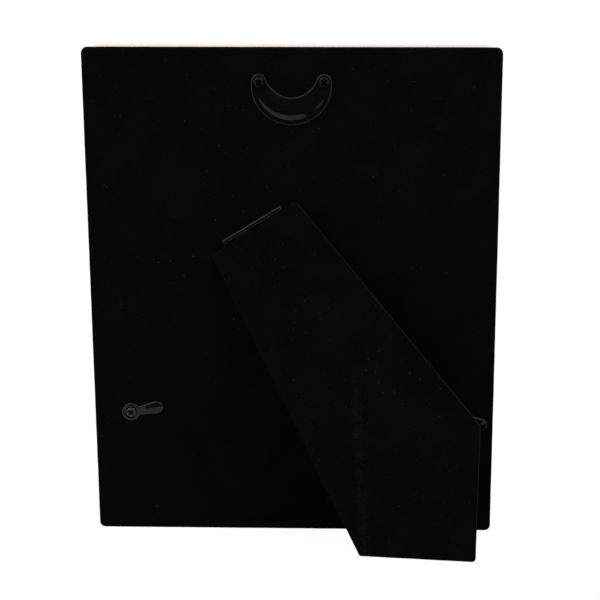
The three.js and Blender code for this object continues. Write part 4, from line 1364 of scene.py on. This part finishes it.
class PHOTOFRAME_OT_screws(bpy.types.Operator):
    """Turn the four screws with their cross recesses"""

    bl_idname = "photo_frame.screws"
    bl_label = "Screws"

    # The head's underside and how far out its recess is painted dark as shade, in head radii
    HEAD_FOOT = 0.97
    RECESS_REACH = 0.7
    # Length and width of the recess at its bottom, as shares of those at its mouth
    RECESS_TAPER = (0.7, 0.85)

    def execute(self, context):
        s = sizes()
        tints = finishes()
        dark = screw_finish("oxide_screw", tints.enamel, tints.enamel_worn_and_highlight, metallic=0.6)
        bare = screw_finish("rubbed_screw", tints.screw_black, tints.screw_bare, metallic=1.0)
        for kind, finish in (("hanger", dark), ("turn_button", bare)):
            for side in SIDES:
                node = f"{kind}_screw_{side}"
                low, high = span(node)
                x, z = screw_place(node)
                place = FACE @ Matrix.Translation((x, 0, z))
                seat = high.y - s.screw_dome - s.screw_edge
                profile = self.profile(low.y, seat, high.y)
                piece = add_object(f"cross_head_{node}", lathe_mesh(profile), place)
                for turn in (QUARTER_TURN / 2, -QUARTER_TURN / 2):
                    cutter = add_object("recess", self.wedge(high.y), place @ Matrix.Rotation(turn, 4, "Y"))
                    combine(piece, cutter, "DIFFERENCE")
                self.mark_recess_shade(piece.data, place, seat + s.screw_edge)
                set_piece(piece, finish, "black_screw", "frame", node)
        return {"FINISHED"}

    def profile(self, point, seat, top):
        """Pairs of radius and level from the top of the head to the screw's point."""
        s = sizes()
        dome = [
            (s.screw_head * math.sin(turn), seat + s.screw_edge + s.screw_dome * math.cos(turn))
            for turn in np.linspace(0, QUARTER_TURN, 2 * EDGE_STEPS)[1:]
        ]
        return [
            (0, top),
            *dome,
            (s.screw_head * self.HEAD_FOOT, seat),
            (s.screw_shank, seat),
            (s.screw_shank, point + s.screw_head),
            (0, point),
        ]

    def mark_recess_shade(self, mesh, into, rim):
        """Marks the points that lie under the dome, which springs from the level of the rim, for the painted shade
        in the recess.
        """
        s = sizes()
        sunk = s.screw_edge / 10

        def recess_shade_mask(x, level, z):
            share = math.hypot(x, z) / s.screw_head
            dome = rim + s.screw_dome * math.sqrt(max(0, 1 - share * share))
            return share < self.RECESS_REACH and rim - s.screw_dome < level < dome - sunk

        mark(mesh, "recess_shade_mask", into, recess_shade_mask)

    def wedge(self, top):
        """One arm of the recess, which narrows as it goes in."""
        s = sizes()
        half, width = s.recess_length / 2, s.recess_width / 2
        bm = box_mesh((-half, top - s.recess_depth, -width), (half, top + s.recess_depth, width))
        for vert in bm.verts:
            if vert.co.y < top:
                vert.co.x *= self.RECESS_TAPER[0]
                vert.co.z *= self.RECESS_TAPER[1]
        return bm


class PHOTOFRAME_OT_stage(bpy.types.Operator):
    """Set the white floor, the studio light and the camera"""

    bl_idname = "photo_frame.stage"
    bl_label = "Stage"

    # The floor's size and how far it lies under the object, in metres
    FLOOR_SIZE = 8.0
    FLOOR_DROP = 0.0003
    # How far the floor looks white, how much less so in polished metal, and how bright that white is
    FLOOR_SHARE = 0.9
    FLOOR_SHADE = 0.5
    FLOOR_GLOW = 1.06
    FLOOR_TINT = (0.9, 0.9, 0.9, 1)
    # The softboxes' size and places, in metres. The fill's place is mirrored for the other side
    SOFTBOX = 1.2
    TOP_PLACE = (0, 0.15, 1.5)
    FILL_PLACE = (1.25, 1.5, 1.35)
    # The dark flag lies from behind the leg's foot to beyond the camera, widens, and stands up there
    FLAG_START = 0.095
    FLAG_END = 2.2
    FLAG_NARROW = 0.26
    FLAG_WIDE = 2.0
    FLAG_HEIGHT = 1.25
    FLAG_LEVEL = 0.001
    FLAG_TINT = (0.004, 0.004, 0.004, 1)
    # The shade on the floor beside the leg, as ranges in metres
    SHADE_X = (-0.6, -0.066)
    SHADE_Y = (-0.03, 0.1)

    def seen(self, tree):
        """1 for what the camera, a reflection or glass sees, and 0 for the light on the object."""
        path = tree.nodes.new("ShaderNodeLightPath").outputs
        mirrored = calculate(tree, "MAXIMUM", path["Is Glossy Ray"], path["Is Transmission Ray"])
        return calculate(tree, "MAXIMUM", path["Is Camera Ray"], mirrored)

    def show(self, tree, share, first, second, output):
        """Lets an output show two shaders, blended by a share."""
        mix = tree.nodes.new("ShaderNodeMixShader")
        for socket, value in zip(mix.inputs, (share, first.outputs[0], second.outputs[0])):
            tree.links.new(value, socket)
        tree.links.new(mix.outputs[0], tree.nodes[output].inputs["Surface"])

    def set_world(self, scene, strength):
        """White all round for the camera and for reflections, and even light on the object."""
        world = bpy.data.worlds.new("white_studio")
        world.use_nodes = True
        tree = world.node_tree
        light = tree.nodes["Background"]
        light.inputs["Color"].default_value = (1, 1, 1, 1)
        light.inputs["Strength"].default_value = strength
        white = add_node(tree, "ShaderNodeBackground", Color=(1, 1, 1, 1), Strength=1.0)
        self.show(tree, self.seen(tree), light, white, "World Output")
        scene.world = world

    def add_sheet(self, name, corners, material):
        """A stage piece from rows of two corners each."""
        bm = bmesh.new()
        rows = [[bm.verts.new(corner) for corner in row] for row in corners]
        for row, next_row in zip(rows, rows[1:]):
            bm.faces.new((row[0], row[1], next_row[1], next_row[0]))
        piece = add_object(name, bm, Matrix.Identity(4))
        piece.data.materials.append(material)
        return piece

    def add_floor(self):
        """A white floor that keeps the object's shadow."""
        material = bpy.data.materials.new("white_floor")
        material.use_nodes = True
        tree = material.node_tree
        tree.nodes.remove(tree.nodes["Principled BSDF"])
        pale = add_node(tree, "ShaderNodeBsdfDiffuse", Color=self.FLOOR_TINT)
        white = add_node(tree, "ShaderNodeEmission", Color=(1, 1, 1, 1), Strength=self.FLOOR_GLOW)
        path = tree.nodes.new("ShaderNodeLightPath").outputs
        shaded = calculate(tree, "MULTIPLY", path["Is Glossy Ray"], self.FLOOR_SHADE)
        glowing = calculate(tree, "MULTIPLY", self.seen(tree), self.FLOOR_SHARE)
        share = calculate(tree, "SUBTRACT", glowing, shaded)
        self.show(tree, share, pale, white, "Material Output")
        half, level = self.FLOOR_SIZE / 2, -self.FLOOR_DROP
        corners = [[(-half, y, level), (half, y, level)] for y in (-half, half)]
        self.add_sheet("white_floor", corners, material)

    def add_flag(self):
        """The dark side of the studio and the shade beside the leg, which only reflections show."""
        material, *_ = new_finish("dark_flag", {
            "Base Color": self.FLAG_TINT, "Roughness": 1.0, "Specular IOR Level": 0.0,
        })
        level = self.FLAG_LEVEL
        narrow, wide = self.FLAG_NARROW / 2, self.FLAG_WIDE / 2
        rows = [
            (narrow, self.FLAG_START, level),
            (wide, self.FLAG_END, level),
            (wide, self.FLAG_END, self.FLAG_HEIGHT),
        ]
        wedge = [[(-half, y, z), (half, y, z)] for half, y, z in rows]
        shade = [[(x, y, level) for x in self.SHADE_X] for y in self.SHADE_Y]
        for name, corners in (("dark_flag", wedge), ("leg_shade", shade)):
            flag = self.add_sheet(name, corners, material)
            flag.visible_camera = False
            flag.visible_diffuse = False
            flag.visible_transmission = False
            flag.visible_shadow = False

    def add_softbox(self, name, place, power):
        """A square light that faces the middle of the object."""
        light = bpy.data.lights.new(name, "AREA")
        light.shape = "SQUARE"
        light.size = self.SOFTBOX
        light.energy = power
        lamp = bpy.data.objects.new(name, light)
        lamp.location = place
        lamp.rotation_mode = "QUATERNION"
        target = Vector((0, 0, CAD_BOX[1].z / 2))
        lamp.rotation_quaternion = (target - lamp.location).to_track_quat("-Z", "Y")
        bpy.context.scene.collection.objects.link(lamp)

    def add_camera(self, scene, settings):
        data = bpy.data.cameras.new("photo_camera")
        data.lens = settings.camera_lens
        camera = bpy.data.objects.new("photo_camera", data)
        camera.matrix_world = (
            Matrix.Translation(settings.camera_place)
            @ Matrix.Rotation(math.pi + settings.camera_heading, 4, "Z")
            @ Matrix.Rotation(QUARTER_TURN - settings.camera_pitch, 4, "X")
            @ Matrix.Rotation(settings.camera_roll, 4, "Z")
        )
        scene.collection.objects.link(camera)
        scene.camera = camera

    def execute(self, context):
        scene = context.scene
        settings = scene.photo_frame_stage
        scene.view_settings.view_transform = "Standard"
        self.set_world(scene, settings.room_light)
        self.add_floor()
        self.add_flag()
        self.add_softbox("top_softbox", Vector(self.TOP_PLACE), settings.top_light)
        x, y, z = self.FILL_PLACE
        for side, across in zip(SIDES, (x, -x)):
            self.add_softbox(f"{side}_softbox", Vector((across, y, z)), settings.fill_light)
        self.add_camera(scene, settings)
        return {"FINISHED"}


class PHOTOFRAME_PT_pieces(bpy.types.Panel):
    """Lists the pieces in the order in which they are made"""

    bl_idname = "PHOTOFRAME_PT_pieces"
    bl_label = "Photo frame"
    bl_space_type = "VIEW_3D"
    bl_region_type = "UI"
    bl_category = "Photo frame"

    def draw(self, context):
        column = self.layout.column(align=True)
        for operator in OPERATORS:
            column.operator(operator.bl_idname)
        for group in ("sizes", "finishes", "stage"):
            settings = getattr(context.scene, f"photo_frame_{group}")
            box = self.layout.box()
            box.label(text=group.capitalize())
            for name in settings.bl_rna.properties.keys():
                if name not in ("rna_type", "name"):
                    box.prop(settings, name)


GROUPS = (PhotoFrameSizes, PhotoFrameFinishes, PhotoFrameStage)
OPERATORS = (
    PHOTOFRAME_OT_rails,
    PHOTOFRAME_OT_picture_pack,
    PHOTOFRAME_OT_frame_velvet,
    PHOTOFRAME_OT_back_panel,
    PHOTOFRAME_OT_easel_leg,
    PHOTOFRAME_OT_hinge,
    PHOTOFRAME_OT_hanger,
    PHOTOFRAME_OT_turn_buttons,
    PHOTOFRAME_OT_screws,
    PHOTOFRAME_OT_stage,
)


def register():
    for item in (*GROUPS, *OPERATORS, PHOTOFRAME_PT_pieces):
        bpy.utils.register_class(item)
    bpy.types.Scene.photo_frame_sizes = PointerProperty(type=PhotoFrameSizes)
    bpy.types.Scene.photo_frame_finishes = PointerProperty(type=PhotoFrameFinishes)
    bpy.types.Scene.photo_frame_stage = PointerProperty(type=PhotoFrameStage)


def unregister():
    del bpy.types.Scene.photo_frame_stage
    del bpy.types.Scene.photo_frame_finishes
    del bpy.types.Scene.photo_frame_sizes
    for item in reversed((*GROUPS, *OPERATORS, PHOTOFRAME_PT_pieces)):
        bpy.utils.unregister_class(item)


def main():
    register()
    bpy.ops.photo_frame.rails()
    bpy.ops.photo_frame.picture_pack()
    bpy.ops.photo_frame.frame_velvet()
    bpy.ops.photo_frame.back_panel()
    bpy.ops.photo_frame.easel_leg()
    bpy.ops.photo_frame.hinge()
    bpy.ops.photo_frame.hanger()
    bpy.ops.photo_frame.turn_buttons()
    bpy.ops.photo_frame.screws()
    bpy.ops.photo_frame.stage()


if __name__ == "__main__":
    main()
